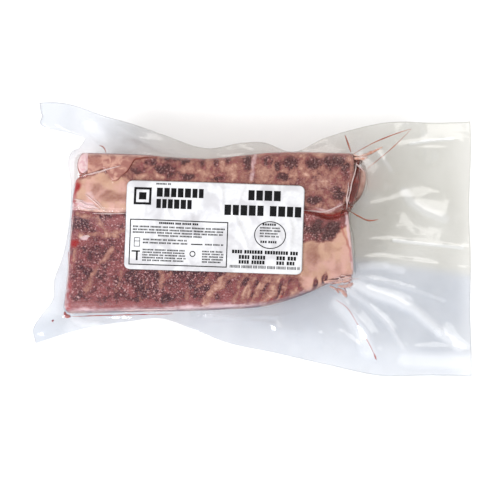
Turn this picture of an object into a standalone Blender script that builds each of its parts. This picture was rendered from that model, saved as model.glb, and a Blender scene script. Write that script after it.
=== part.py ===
"""A vacuum pack of raw beef short ribs, lying on its back with its label up.

Two ribs lie side by side in a clear pouch. The pouch clings to them, and what is left over stands out all
round as a flange: two wings at the left, narrow brims along the sides and a long tail at the right.
The bag is one closed solid with the form of its contents. The label is a second solid, on top of it.
Metres, +Z up, +X along the ribs. The origin is under the middle of the pack, on the table.
"""

import bmesh
import bpy
import numpy as np

# Driving dimensions. Layout places are in the frame that the outlines were laid out in; centre_on_origin
# moves the finished pack so that the middle of its box is over the origin. A pair named _SPAN is the stretch
# over which something grows from nothing to all of itself.

# The ribs: height of each one's top face, and of the parting line where the two sheets of film meet
LOWER_RIB_TOP = 0.0425
UPPER_RIB_TOP = 0.0450
PARTING_HEIGHT = 0.0170

# The step between the two ribs' tops, across the seam
STEP_SPAN = (-0.012, 0.008)

# Unevenness of the top faces: long swells, and how far they fall toward the ends
SWELL_HEIGHT = 0.0008
SWELL_LENGTH = 0.0700
SWELL_PHASE = 1.0
LEFT_FALL = 0.0024
LEFT_FALL_SPAN = (-0.050, -0.105)
LOWER_RIGHT_FALL = 0.0030
UPPER_RIGHT_FALL = 0.0006
RIGHT_FALL_SPAN = (0.010, 0.065)

# How far the rounded edges reach in from the widest outline, how square they are, and the round of the
# block's four corners in plan. At the upper rib's right end the bones stand out below, so the reach grows.
EDGE_REACH = 0.0070
BONE_END_REACH = ((-0.022, 0.0070), (0.014, 0.0070), (0.030, 0.0130), (0.042, 0.0120), (0.052, 0.0080))
EDGE_POWER = 3.2
CORNER_RADIUS = 0.0050
CORNER_FADE = 3.0

# Foot of the block, its widest outline, as x along the ends and y along the sides
BLOCK_LEFT = (
    (-0.048, -0.1035), (-0.024, -0.1010), (0.005, -0.0995), (0.030, -0.0975), (0.050, -0.0960),
    (0.064, -0.0885), (0.080, -0.0885),
)
BLOCK_RIGHT = (
    (-0.022, 0.0680), (0.000, 0.0670), (0.015, 0.0655), (0.028, 0.0745), (0.041, 0.0745), (0.051, 0.0690),
)
BLOCK_NEAR = (
    (-0.105, -0.0445), (-0.060, -0.0435), (-0.010, -0.0420), (0.015, -0.0400),
    (0.040, -0.0325), (0.055, -0.0260), (0.068, -0.0235),
)
BLOCK_FAR = ((-0.098, 0.0505), (-0.055, 0.0490), (-0.018, 0.0470), (0.016, 0.0505), (0.070, 0.0500))

# The seam between the two ribs: where it runs, how wide it is, and how deep the film is drawn into it.
# At the left the ribs press on each other, and at the right they part.
SEAM = (
    (-0.100, 0.0160), (-0.078, 0.0140), (-0.020, 0.0145), (0.040, 0.0150), (0.052, 0.0120), (0.066, 0.0165),
)
SEAM_HALF_WIDTH = 0.0026
LEFT_SEAM_DEPTH = 0.0008
RIGHT_SEAM_DEPTH = 0.0034
SEAM_PARTING_SPAN = (0.020, 0.045)
SEAM_POWER = 1.5

# The pouch's outer edges, as x along the left end and y along the sides
POUCH_LEFT = (
    (-0.0618, -0.1209), (-0.0520, -0.1226), (-0.0440, -0.1175), (-0.0360, -0.1115), (-0.0240, -0.1108),
    (-0.0100, -0.1060), (0.0020, -0.1035), (0.0240, -0.1018), (0.0380, -0.1025), (0.0470, -0.1040),
    (0.0540, -0.1020), (0.0600, -0.0950), (0.0635, -0.0960), (0.0665, -0.1130), (0.0750, -0.1190),
    (0.0826, -0.1206),
)
POUCH_RIGHT = ((-0.0810, 0.1385), (-0.0200, 0.1400), (0.0300, 0.1405), (0.0740, 0.1415))
POUCH_NEAR = (
    (-0.1226, -0.0618), (-0.0928, -0.0526), (-0.0669, -0.0485), (-0.0460, -0.0468), (-0.0290, -0.0525),
    (-0.0081, -0.0606), (0.0209, -0.0669), (0.0536, -0.0744), (0.0800, -0.0800), (0.1154, -0.0806),
    (0.1415, -0.0811),
)
POUCH_FAR = (
    (-0.1226, 0.0826), (-0.1050, 0.0825), (-0.0787, 0.0749), (-0.0453, 0.0639), (-0.0188, 0.0555),
    (0.0022, 0.0594), (0.0135, 0.0598), (0.0318, 0.0532), (0.0511, 0.0621), (0.0846, 0.0711),
    (0.1174, 0.0730), (0.1415, 0.0740),
)

# The flange: half its thickness here, and how far the films stand apart beside the block
FLANGE_HALF_THICKNESS = 0.0006
TENT_HEIGHT = 0.0034
TENT_REACH = 0.0050

# How far the tail sags toward its end, and how far the far left wing stands up
TAIL_SAG = 0.0090
TAIL_SAG_SPAN = (0.070, 0.145)
WING_LIFT = 0.0060
WING_LIFT_SPAN_X = (-0.080, -0.125)
WING_LIFT_SPAN_Y = (0.050, 0.085)

# Soft waves in the flange: a wave along it everywhere, and a ripple across it in the tail
WAVE_HEIGHT = 0.0015
WAVE_LENGTH = 0.0520
WAVE_SLANT = 0.4
RIPPLE_LENGTH = 0.0676
RIPPLE_SLANT = 0.2
RIPPLE_SPAN = (0.070, 0.120)

# The label: a 4 by 2 inch sticker, turned 2 degrees clockwise
LABEL_SIZE = (0.1016, 0.0508)
LABEL_CENTRE = (-0.0146, 0.0052)
LABEL_TURN = np.radians(-1.9)
LABEL_CORNER = 0.0032
LABEL_THICKNESS = 0.0004
LABEL_GAP = 0.0004

# Rows and columns of the bag's grid in each zone, from left to right and from near to far. The first and the
# last zone are outside the block.
COLUMNS = {"left brim": 5, "left edge": 5, "top": 24, "right edge": 5, "tail": 12}
ROWS = {
    "near brim": 5, "near edge": 5, "lower rib": 8, "near lip": 2, "far lip": 2,
    "upper rib": 5, "far edge": 5, "far brim": 5,
}
LABEL_COLUMNS, LABEL_ROWS = 26, 14
SETTLING_PASSES = 6

FILM_COLOUR, FILM_ROUGHNESS = (0.55, 0.30, 0.29, 1.0), 0.25
PAPER_COLOUR, PAPER_ROUGHNESS = (0.93, 0.93, 0.92, 1.0), 0.45


def clear_scene():
    """Removes what the file opens with."""
    for obj in list(bpy.data.objects):
        bpy.data.objects.remove(obj, do_unlink=True)


def curve_through(points, at):
    """A smooth curve through (station, value) points: cubic pieces whose slopes follow their neighbours."""
    stations, values = np.array(points).T
    slopes = np.gradient(values, stations)
    piece = np.clip(np.searchsorted(stations, at) - 1, 0, len(stations) - 2)
    length = stations[piece + 1] - stations[piece]
    t = np.clip((at - stations[piece]) / length, 0, 1)
    return (
        values[piece] * (1 + 2 * t) * (1 - t) ** 2
        + slopes[piece] * length * t * (1 - t) ** 2
        + values[piece + 1] * t * t * (3 - 2 * t)
        + slopes[piece + 1] * length * t * t * (t - 1)
    )


def smooth_step(low, high, at):
    """0 below low and 1 above high, with a soft rise between."""
    t = np.clip((at - low) / (high - low), 0, 1)
    return t * t * (3 - 2 * t)


def zone_parameters(zones):
    """One value for each grid line: its zone's number plus how far through the zone it is.

    An edge zone's lines lie at equal steps of angle round its superellipse, so they crowd where it is steep.
    """
    lines = []
    for number, (name, count) in enumerate(zones.items()):
        t = np.arange(count) / count
        if name.endswith("edge") and number < len(zones) / 2:
            t = 1 - np.cos(t * np.pi / 2) ** (2 / EDGE_POWER)
        elif name.endswith("edge"):
            t = np.sin(t * np.pi / 2) ** (2 / EDGE_POWER)
        lines.extend(number + t)
    return np.array([*lines, float(len(zones))])


def between_lines(borders, parameter):
    """The place of a grid line between the borders of its zone. borders holds one array for each border."""
    zone = np.clip(parameter.astype(int), 0, len(borders) - 2)
    share = parameter - zone
    stacked = np.stack(borders)
    low = np.take_along_axis(stacked, zone[None], 0)[0]
    high = np.take_along_axis(stacked, zone[None] + 1, 0)[0]
    return low + share * (high - low)


def settle_grid(across, along):
    """Plan of the bag's grid. Columns follow the ends' curves, which depend on y, and rows follow the
    sides' curves, which depend on x, so a few passes find the points that agree with both."""
    x = np.interp(across, (0, len(COLUMNS)), (POUCH_LEFT[0][1], POUCH_RIGHT[0][1]))
    y = np.interp(along, (0, len(ROWS)), (POUCH_NEAR[0][1], POUCH_FAR[0][1]))
    for _ in range(SETTLING_PASSES):
        seam = curve_through(SEAM, x)
        near, far = curve_through(BLOCK_NEAR, x), curve_through(BLOCK_FAR, x)
        y = between_lines(
            [
                curve_through(POUCH_NEAR, x), near, near + EDGE_REACH, seam - SEAM_HALF_WIDTH, seam,
                seam + SEAM_HALF_WIDTH, far - EDGE_REACH, far, curve_through(POUCH_FAR, x),
            ],
            along,
        )
        left, right = curve_through(BLOCK_LEFT, y), curve_through(BLOCK_RIGHT, y)
        x = between_lines(
            [
                curve_through(POUCH_LEFT, y), left, left + EDGE_REACH,
                right - curve_through(BONE_END_REACH, y), right, curve_through(POUCH_RIGHT, y),
            ],
            across,
        )
    return x, y


def round_corners(x, y):
    """Draws the grid in at the block's corners, where its square rings become arcs about the corner's centre.

    Beyond the block the pull fades, so that the pouch's own corners stay where they are.
    """
    ends = ((-1, curve_through(BLOCK_LEFT, y)), (1, curve_through(BLOCK_RIGHT, y)))
    sides = ((-1, curve_through(BLOCK_NEAR, x)), (1, curve_through(BLOCK_FAR, x)))
    move_x, move_y = np.zeros_like(x), np.zeros_like(y)
    for x_way, end in ends:
        for y_way, side in sides:
            u = np.maximum(CORNER_RADIUS + x_way * (x - end), 0)
            v = np.maximum(CORNER_RADIUS + y_way * (y - side), 0)
            ring = np.maximum(u, v)
            pull = 1 - ring / np.maximum(np.hypot(u, v), 1e-9)
            pull *= np.minimum(u, v) > 0
            pull *= 1 - smooth_step(CORNER_RADIUS, CORNER_FADE * CORNER_RADIUS, ring)
            move_x -= x_way * u * pull
            move_y -= y_way * v * pull
    return x + move_x, y + move_y


def flange_height(x, y):
    """Height of the flange's middle: level by the block, sagging along the tail, with soft waves."""
    sag = TAIL_SAG * smooth_step(*TAIL_SAG_SPAN, x)
    lift = WING_LIFT * smooth_step(*WING_LIFT_SPAN_Y, y) * smooth_step(*WING_LIFT_SPAN_X, x)
    wave = WAVE_HEIGHT * np.sin(2 * np.pi * (x - WAVE_SLANT * y) / WAVE_LENGTH)
    ripple = WAVE_HEIGHT * np.sin(2 * np.pi * (y + RIPPLE_SLANT * x) / RIPPLE_LENGTH)
    return PARTING_HEIGHT - sag + lift + wave + ripple * smooth_step(*RIPPLE_SPAN, x)


def rib_top(x, y):
    """Height of the ribs' top faces, with the step between them smoothed and without the seam's groove."""
    step = smooth_step(*STEP_SPAN, y - curve_through(SEAM, x))
    along, across = (2 * np.pi * place / SWELL_LENGTH for place in (x, y))
    swell = SWELL_HEIGHT * np.sin(along) * np.sin(across + SWELL_PHASE)
    right_fall = LOWER_RIGHT_FALL + (UPPER_RIGHT_FALL - LOWER_RIGHT_FALL) * step
    fall = LEFT_FALL * smooth_step(*LEFT_FALL_SPAN, x) + right_fall * smooth_step(*RIGHT_FALL_SPAN, x)
    return LOWER_RIB_TOP + (UPPER_RIB_TOP - LOWER_RIB_TOP) * step + swell - fall


def seam_groove(x, y):
    """Depth of the groove that the film is drawn into between the ribs."""
    depth = LEFT_SEAM_DEPTH + (RIGHT_SEAM_DEPTH - LEFT_SEAM_DEPTH) * smooth_step(*SEAM_PARTING_SPAN, x)
    away = np.abs(y - curve_through(SEAM, x)) / SEAM_HALF_WIDTH
    return depth * np.clip(1 - away**2, 0, 1) ** SEAM_POWER


def edge_rise(across, along):
    """0 at the foot of the block and outside it, 1 on its top face, and between them a superellipse."""
    ends = np.minimum(across - 1, len(COLUMNS) - 1 - across)
    sides = np.minimum(along - 1, len(ROWS) - 1 - along)
    inward = np.clip(np.minimum(ends, sides), 0, 1)
    return (1 - (1 - inward) ** EDGE_POWER) ** (1 / EDGE_POWER)


def outward_distance(x, y):
    """How far a point is outside the foot of the block, and 0 inside it."""
    dx = np.maximum(curve_through(BLOCK_LEFT, y) - x, x - curve_through(BLOCK_RIGHT, y))
    dy = np.maximum(curve_through(BLOCK_NEAR, x) - y, y - curve_through(BLOCK_FAR, x))
    return np.hypot(np.maximum(dx, 0), np.maximum(dy, 0))


def bag_sheets():
    """The bag's two sheets on one plan: (x, y, height of the upper sheet, height of the lower sheet)."""
    across, along = np.meshgrid(zone_parameters(COLUMNS), zone_parameters(ROWS))
    x, y = round_corners(*settle_grid(across, along))
    rise = edge_rise(across, along)
    flange = flange_height(x, y)
    opening = FLANGE_HALF_THICKNESS + TENT_HEIGHT * np.exp(-outward_distance(x, y) / TENT_REACH)
    top = rib_top(x, y) - seam_groove(x, y)
    upper = flange + opening + (top - flange - opening) * rise
    lower = (flange - opening) * (1 - rise)
    return x, y, upper, lower


def centre_on_origin(x, y):
    """What to subtract so that the middle of the pack's box is over the origin."""
    return (x.min() + x.max()) / 2, (y.min() + y.max()) / 2


def shaped_grid(bm, x, y, z):
    """A grid primitive whose vertices are placed by arrays of coordinates. Returns its vertices."""
    rows, columns = x.shape
    made = bmesh.ops.create_grid(bm, x_segments=columns - 1, y_segments=rows - 1, size=1.0)["verts"]
    # The primitive runs from -1 to 1 both ways, so a vertex's own place tells its row and its column.
    for vertex in made:
        column = round((vertex.co.x + 1) / 2 * (columns - 1))
        row = round((vertex.co.y + 1) / 2 * (rows - 1))
        vertex.co = (x[row, column], y[row, column], z[row, column])
    return made


def add_object(name, bm, collection, colour, roughness):
    """Puts a finished mesh into the collection as a named object with its own material."""
    mesh = bpy.data.meshes.new(name)
    bm.to_mesh(mesh)
    bm.free()
    mesh.shade_smooth()
    material = bpy.data.materials.new(name)
    material.use_nodes = True
    shader = material.node_tree.nodes["Principled BSDF"]
    shader.inputs["Base Color"].default_value = colour
    shader.inputs["Roughness"].default_value = roughness
    shader.inputs["Metallic"].default_value = 0.0
    mesh.materials.append(material)
    obj = bpy.data.objects.new(name, mesh)
    collection.objects.link(obj)
    return obj


def build_sealed_bag(collection):
    """The bag and its contents as one closed solid: two grids, joined by a strip along the pouch's edge."""
    x, y, upper, lower = bag_sheets()
    middle_x, middle_y = centre_on_origin(x, y)
    bm = bmesh.new()
    shaped_grid(bm, x - middle_x, y - middle_y, upper)
    under = shaped_grid(bm, x - middle_x, y - middle_y, lower)
    bmesh.ops.reverse_faces(bm, faces=list({face for vertex in under for face in vertex.link_faces}))
    bmesh.ops.bridge_loops(bm, edges=[edge for edge in bm.edges if edge.is_boundary])
    bmesh.ops.recalc_face_normals(bm, faces=bm.faces)
    add_object("sealed_bag", bm, collection, FILM_COLOUR, FILM_ROUGHNESS)
    return middle_x, middle_y


def label_surface():
    """Underside of the label: a rectangle with round corners, laid along the ribs' top faces."""
    along = np.linspace(-1, 1, LABEL_ROWS + 1) * LABEL_SIZE[1] / 2
    # Toward the short edges' ends the rows get shorter, by the round corner's own circle.
    past = np.clip(np.abs(along) - (LABEL_SIZE[1] / 2 - LABEL_CORNER), 0, LABEL_CORNER)
    half = LABEL_SIZE[0] / 2 - LABEL_CORNER + np.sqrt(LABEL_CORNER**2 - past**2)
    across = np.linspace(-1, 1, LABEL_COLUMNS + 1)[None] * half[:, None]
    along = np.broadcast_to(along[:, None], across.shape)
    x = LABEL_CENTRE[0] + across * np.cos(LABEL_TURN) - along * np.sin(LABEL_TURN)
    y = LABEL_CENTRE[1] + across * np.sin(LABEL_TURN) + along * np.cos(LABEL_TURN)
    return x, y, rib_top(x, y) + LABEL_GAP


def build_label(collection, middle):
    """The label as a thin curved slab, just clear of the bag's top face."""
    x, y, z = label_surface()
    bm = bmesh.new()
    shaped_grid(bm, x - middle[0], y - middle[1], z)
    bmesh.ops.recalc_face_normals(bm, faces=bm.faces)
    label = add_object("label", bm, collection, PAPER_COLOUR, PAPER_ROUGHNESS)
    slab = label.modifiers.new("thickness", "SOLIDIFY")
    slab.thickness = LABEL_THICKNESS
    slab.offset = 1.0


def build_pack():
    """Clears the file and builds the bag and its label in a collection of their own."""
    clear_scene()
    collection = bpy.data.collections.new("vacuum_packed_short_ribs")
    bpy.context.scene.collection.children.link(collection)
    middle = build_sealed_bag(collection)
    build_label(collection, middle)


build_pack()
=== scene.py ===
# %% [markdown]
# # Raw beef short ribs in a vacuum pack
# Two short ribs lie side by side in a clear pouch, with a paper label on top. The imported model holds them
# as one closed solid and a label. This script keeps that place and size, and puts the real things there,
# one after the other: two pieces of marbled meat, their bones and fat, the film round them, the juice in
# its folds, the label and its print. Each shape is a function of two parameters, worked out with numpy on
# a whole grid at once.

# %% Load the frame
from dataclasses import dataclass
from typing import Callable

import bpy
import numpy as np
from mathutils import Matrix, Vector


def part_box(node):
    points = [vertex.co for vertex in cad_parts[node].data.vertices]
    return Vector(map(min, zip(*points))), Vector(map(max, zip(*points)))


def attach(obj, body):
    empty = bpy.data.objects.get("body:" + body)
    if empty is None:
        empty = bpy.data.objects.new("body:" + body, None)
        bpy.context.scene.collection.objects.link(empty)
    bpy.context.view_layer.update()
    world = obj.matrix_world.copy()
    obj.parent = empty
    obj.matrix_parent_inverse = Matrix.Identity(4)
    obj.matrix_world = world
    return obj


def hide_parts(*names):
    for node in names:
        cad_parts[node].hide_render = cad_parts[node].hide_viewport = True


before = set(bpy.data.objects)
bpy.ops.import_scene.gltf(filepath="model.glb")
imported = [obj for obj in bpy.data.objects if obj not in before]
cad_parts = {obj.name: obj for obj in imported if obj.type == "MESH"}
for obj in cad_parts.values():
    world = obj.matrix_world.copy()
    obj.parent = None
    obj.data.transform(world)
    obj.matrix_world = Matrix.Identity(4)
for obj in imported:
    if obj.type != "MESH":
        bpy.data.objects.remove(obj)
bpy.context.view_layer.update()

# %% [markdown]
# ## Where things are
# All places are laid out in millimetres from one point near the middle of the label, as they were for the
# solids. The solids' own origin is under the middle of the pack, so one shift, read from the label's box,
# takes a place of the layout to its place in the scene.

# %% The layout
def mm(*values):
    """Millimetres as an array in metres."""
    return np.array(values, float) / 1000


LABEL_CENTRE = mm(-14.6, 5.2)
label_low, label_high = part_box("label")
SHIFT = np.array([label_low.x + label_high.x, label_low.y + label_high.y]) / 2 - LABEL_CENTRE
print("shift from the layout to the scene, mm:", (SHIFT * 1000).round(2))

# %% [markdown]
# ## Outlines
# The block of meat is a rough rectangle, wider at the left, and the pouch round it is cut with wavy
# edges. Each side is a smooth curve through a few points: x along the two ends, y along the two sides. A
# curve needs so few points because its slope at each one follows from the two beside it.

# %% Curves through points
LOWER_TOP, UPPER_TOP, PARTING = mm(42.5, 45.0, 17.0)

BLOCK_LEFT = mm((-48, -103.5), (-24, -101), (5, -99.5), (30, -97.5), (50, -96), (64, -88.5), (80, -88.5))
BLOCK_RIGHT = mm((-22, 68), (0, 67), (15, 65.5), (28, 74.5), (41, 74.5), (51, 69))
BLOCK_NEAR = mm((-105, -44.5), (-60, -43.5), (-10, -42), (15, -40), (40, -32.5), (55, -26), (68, -23.5))
BLOCK_FAR = mm((-98, 50.5), (-55, 49), (-18, 47), (16, 50.5), (70, 50))
SEAM = mm((-100, 16), (-78, 14), (-20, 14.5), (40, 15), (52, 12), (66, 16.5))
POUCH_LEFT = mm(
    (-61.8, -120.9), (-52, -122.6), (-44, -117.5), (-36, -111.5), (-24, -110.8), (-10, -106), (2, -103.5),
    (24, -101.8), (38, -102.5), (47, -104), (54, -102), (60, -95), (63.5, -96), (66.5, -113), (75, -119),
    (82.6, -120.6),
)
POUCH_RIGHT = mm((-81, 138.5), (-20, 140), (30, 140.5), (74, 141.5))
POUCH_NEAR = mm(
    (-122.6, -61.8), (-92.8, -52.6), (-66.9, -48.5), (-46, -46.8), (-29, -52.5), (-8.1, -60.6),
    (20.9, -66.9), (53.6, -74.4), (80, -80), (115.4, -80.6), (141.5, -81.1),
)
POUCH_FAR = mm(
    (-122.6, 82.6), (-105, 82.5), (-78.7, 74.9), (-45.3, 63.9), (-18.8, 55.5), (2.2, 59.4), (13.5, 59.8),
    (31.8, 53.2), (51.1, 62.1), (84.6, 71.1), (117.4, 73), (141.5, 74),
)


def curve_through(points, at):
    """A smooth curve through (station, value) points: cubic pieces whose slopes follow their neighbours."""
    stations, values = points.T
    slopes = np.gradient(values, stations)
    piece = np.clip(np.searchsorted(stations, at) - 1, 0, len(stations) - 2)
    length = stations[piece + 1] - stations[piece]
    t = np.clip((at - stations[piece]) / length, 0, 1)
    return (
        values[piece] * (1 + 2 * t) * (1 - t) ** 2 + slopes[piece] * length * t * (1 - t) ** 2
        + values[piece + 1] * t * t * (3 - 2 * t) + slopes[piece + 1] * length * t * t * (t - 1)
    )


def ramp(low, high, at):
    """0 below low and 1 above high, with a soft rise between."""
    t = np.clip((at - low) / (high - low), 0, 1)
    return t * t * (3 - 2 * t)


def fade(low, high, at):
    """The same rise, between two places or distances in millimetres."""
    return ramp(low / 1000, high / 1000, at)


print("the block is", 1000 * (BLOCK_RIGHT[2, 1] - BLOCK_LEFT[2, 1]), "mm long at its seam")

# %% [markdown]
# ## A plan with rounded edges
# Meat, bones and film all have four curved sides. A plan holds those sides and the reach of each one's
# rounded edge. Its share says how far up the edge a place is: 0 on the outline and 1 on the flat top. In
# a corner two sides are near, and the share is measured from the corner's arc instead. The height follows
# from the share by the formula of a superellipse, which is fuller than a circle, as a pressed edge is.

# %% Plans and edges
TINY = 1e-9


@dataclass
class Plan:
    """Four sides seen from above, the reach of each one's edge, and the corners' radius over that reach."""

    left: Callable
    right: Callable
    near: Callable
    far: Callable
    reach: tuple
    corner: float

    def borders(self, x, y):
        """x of the left and right sides beside a point, and y of the near and far ones."""
        return self.left(y), self.right(y), self.near(x), self.far(x)

    def reaches(self, x, y):
        """Reach of the four edges beside a point: numbers, or functions of the place along their side."""
        return [reach(at) if callable(reach) else reach for reach, at in zip(self.reach, (y, y, x, x))]

    def inward(self, x, y):
        """Distance inwards from each side, over the reach of its edge."""
        left, right, near, far = self.borders(x, y)
        gaps = (x - left, right - x, y - near, far - y)
        return [gap / reach for gap, reach in zip(gaps, self.reaches(x, y))]

    def share(self, x, y):
        """0 on the outline and outside it, 1 where the top is flat. Corner: c - hypot(c - u, c - v)."""
        left, right, near, far = self.inward(x, y)
        u, v, c = np.minimum(left, right), np.minimum(near, far), self.corner
        arc = c - np.hypot(np.maximum(c - u, 0), np.maximum(c - v, 0))
        return np.clip(np.where((u < c) & (v < c), arc, np.minimum(u, v)), 0, 1)

    def round_corners(self, x, y):
        """Pulls each square ring of a grid in at the corners, to an arc about the corner's centre."""
        inward, reach = self.inward(x, y), self.reaches(x, y)
        move_x, move_y = np.zeros_like(x), np.zeros_like(y)
        for x_way, end, reach_x in zip((1, -1), inward[:2], reach[:2]):
            for y_way, side, reach_y in zip((1, -1), inward[2:], reach[2:]):
                u, v = np.maximum(self.corner - end, 0), np.maximum(self.corner - side, 0)
                ring = np.maximum(u, v)
                pull = (1 - ring / np.maximum(np.hypot(u, v), TINY)) * (np.minimum(u, v) > 0)
                pull = pull * (1 - ramp(self.corner, 3 * self.corner, ring))
                move_x = move_x + x_way * u * pull * reach_x
                move_y = move_y + y_way * v * pull * reach_y
        return x + move_x, y + move_y


EDGE_POWER = 3.2


def edge_rise(share, power=EDGE_POWER):
    """Section of a rounded edge, a superellipse: 0 at its foot and 1 at its rim."""
    return (1 - (1 - share) ** power) ** (1 / power)


def side_of(points, moved=0.0):
    """A side of a plan: the curve through these points, moved by this much."""
    return lambda at: curve_through(points, at) + moved


print("heights up an edge at equal steps:", edge_rise(np.linspace(0, 1, 5)).round(2))

# %% [markdown]
# ## A grid that follows a plan
# The columns of a grid follow the two ends and its rows follow the two sides. A column's x depends on y
# and a row's y on x, so a few passes settle them. Near the edges the lines crowd together, at equal turns
# round the superellipse.

# %% Grids
SETTLE_PASSES = 6


def grid_lines(*zones):
    """One value a line: its zone's number plus the share of the zone. Rising and falling zones are edges."""
    lines = []
    for number, (count, form) in enumerate(zones):
        t = np.arange(count) / count
        if form == "rising":
            t = 1 - np.cos(t * np.pi / 2) ** (2 / EDGE_POWER)
        elif form == "falling":
            t = np.sin(t * np.pi / 2) ** (2 / EDGE_POWER)
        lines.extend(number + t)
    return np.array([*lines, float(len(zones))])


def between(borders, parameter):
    """The place of a line between the borders of its zone, by its share of the zone."""
    zone = np.clip(parameter.astype(int), 0, len(borders) - 2)
    stacked = np.stack(np.broadcast_arrays(*borders))
    low = np.take_along_axis(stacked, zone[None], 0)[0]
    high = np.take_along_axis(stacked, zone[None] + 1, 0)[0]
    return low + (parameter - zone) * (high - low)


def settle(across, along, columns, rows):
    """x and y of a grid whose columns(x, y) and rows(x, y) give the borders of its columns and rows."""
    middle = np.zeros(across.shape)
    x = np.interp(across, (0, across.max()), [columns(middle, middle)[k].flat[0] for k in (0, -1)])
    y = np.interp(along, (0, along.max()), [rows(middle, middle)[k].flat[0] for k in (0, -1)])
    for _ in range(SETTLE_PASSES):
        y = between(rows(x, y), along)
        x = between(columns(x, y), across)
    return x, y


def plan_grid(plan, columns, rows, edge):
    """x and y of a grid over a plan: columns and rows on the flat, and edge lines up each side."""
    across, along = np.meshgrid(
        grid_lines((edge, "rising"), (columns, "even"), (edge, "falling")),
        grid_lines((edge, "rising"), (rows, "even"), (edge, "falling")),
    )

    def column_borders(x, y):
        """x of the sides and of their edges' rims."""
        (left, right, _, _), reach = plan.borders(x, y), plan.reaches(x, y)
        return left + 0 * x, left + reach[0], right - reach[1], right + 0 * x

    def row_borders(x, y):
        """y of the sides and of their edges' rims."""
        (_, _, near, far), reach = plan.borders(x, y), plan.reaches(x, y)
        return near + 0 * y, near + reach[2], far - reach[3], far + 0 * y

    return plan.round_corners(*settle(across, along, column_borders, row_borders))


print("four lines up an edge, and its rim:", grid_lines((4, "rising")).round(2))

# %% [markdown]
# ## Random fields
# Meat is never even. A lattice of random numbers, blended smoothly between its corners, gives soft lumps
# of one size, and a few octaves of it give lumps on lumps. The lattice has a fixed seed, so the pack is
# the same each time.

# %% Noise on a lattice
LATTICE_SIZE, LATTICE_SEED = 64, 11
OCTAVES, OCTAVE_SHIFT = 3, 7.3
LATTICE = np.random.default_rng(LATTICE_SEED).random((LATTICE_SIZE,) * 3)


def soft_noise(x, y, z, cell, shift=0.0):
    """Random values at the corners of cubes of this size, blended with smooth weights. 0 to 1, about 0.5.

    Another shift takes another part of the lattice.
    """
    at = np.stack(np.broadcast_arrays(x, y, z), axis=-1) / cell + shift
    low = np.floor(at).astype(int)
    t = at - low
    t = t * t * (3 - 2 * t)
    total = np.zeros(at.shape[:-1])
    for corner in np.ndindex(2, 2, 2):
        i, j, k = np.moveaxis((low + corner) % LATTICE_SIZE, -1, 0)
        total += np.where(corner, t, 1 - t).prod(axis=-1) * LATTICE[i, j, k]
    return total


def rough_noise(x, y, z, cell, shift=0.0):
    """Octaves of soft noise, each of half the size and half the strength of the last."""
    strengths = 0.5 ** np.arange(OCTAVES)
    layers = [s * soft_noise(x, y, z, cell * s, shift + OCTAVE_SHIFT * s) for s in strengths]
    return sum(layers) / strengths.sum()


print("a row of noise:", soft_noise(np.linspace(0, 0.02, 5), 0, 0, 0.006).round(2))

# %% [markdown]
# ## Marks placed one by one
# Some things can't be left to chance: the seams of fat, the dark bands, the folds of the film. Each is a
# soft line through a few points or a soft oval spot. Both return 1 on the mark and 0 beside it.

# %% Soft lines and spots
def line_field(x, y, points):
    """(distance to a line through the points, share of the way along it)."""
    spans = np.linalg.norm(np.diff(points, axis=0), axis=1)
    starts = np.concatenate([[0], np.cumsum(spans)])
    distance, share = np.full(np.shape(x), np.inf), np.zeros(np.shape(x))
    for (ax, ay), (bx, by), span, start in zip(points[:-1], points[1:], spans, starts):
        t = np.clip(((x - ax) * (bx - ax) + (y - ay) * (by - ay)) / span**2, 0, 1)
        here = np.hypot(x - ax - t * (bx - ax), y - ay - t * (by - ay))
        share = np.where(here < distance, (start + t * span) / starts[-1], share)
        distance = np.minimum(distance, here)
    return distance, share


def line_mark(x, y, points, half_width, core=0.0):
    """1 along a line, fading from this share of the half width to 0 at all of it."""
    return 1 - ramp(core, 1.0, line_field(x, y, points)[0] / half_width)


def spot_mark(x, y, centre, radii, turn=0.0, core=0.3):
    """1 inside an oval, fading from this share of it to 0 at its edge. turn is in degrees, anticlockwise."""
    c, s = np.cos(np.radians(turn)), np.sin(np.radians(turn))
    u = ((x - centre[0]) * c + (y - centre[1]) * s) / radii[0]
    v = ((y - centre[1]) * c - (x - centre[0]) * s) / radii[1]
    return 1 - ramp(core, 1.0, np.hypot(u, v))


print("a spot from its centre outwards:", spot_mark(np.linspace(0, 1, 5), 0, (0, 0), (1, 1)).round(2))

# %% [markdown]
# ## From sheets to a closed body
# Nearly every piece is a pillow: two sheets on one grid that meet along their outer loop. The upper
# sheet's faces look up and the lower one's look down, so the body is closed and its faces point outwards.

# %% Make a piece
def pillow(x, y, upper, lower):
    """Points and quads of a closed body: an upper and a lower sheet that share their outer loop."""
    rows, columns = x.shape
    top = np.arange(rows * columns).reshape(rows, columns)
    bottom = top.copy()
    inner = (rows - 2, columns - 2)
    bottom[1:-1, 1:-1] = rows * columns + np.arange(np.prod(inner)).reshape(inner)
    points = np.concatenate([
        np.stack([x, y, upper], axis=-1).reshape(-1, 3),
        np.stack([x, y, lower], axis=-1)[1:-1, 1:-1].reshape(-1, 3),
    ])

    def quads(index):
        """The four corners of each cell of a grid of indices."""
        corners = (index[:-1, :-1], index[:-1, 1:], index[1:, 1:], index[1:, :-1])
        return np.stack(corners, axis=-1).reshape(-1, 4)

    return points, np.concatenate([quads(top), quads(bottom)[:, ::-1]])


def on_pillow(upper_values, lower_values):
    """A pillow's attribute from its values on the two sheets, in the order of the pillow's points."""
    inner = lower_values[1:-1, 1:-1]
    return np.concatenate([values.reshape(-1, *values.shape[2:]) for values in (upper_values, inner)])


def join(meshes):
    """Several (points, faces) as one."""
    starts = np.cumsum([0] + [len(points) for points, _ in meshes[:-1]])
    return (np.concatenate([points for points, _ in meshes]),
            np.concatenate([faces + start for (_, faces), start in zip(meshes, starts)]))


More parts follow.
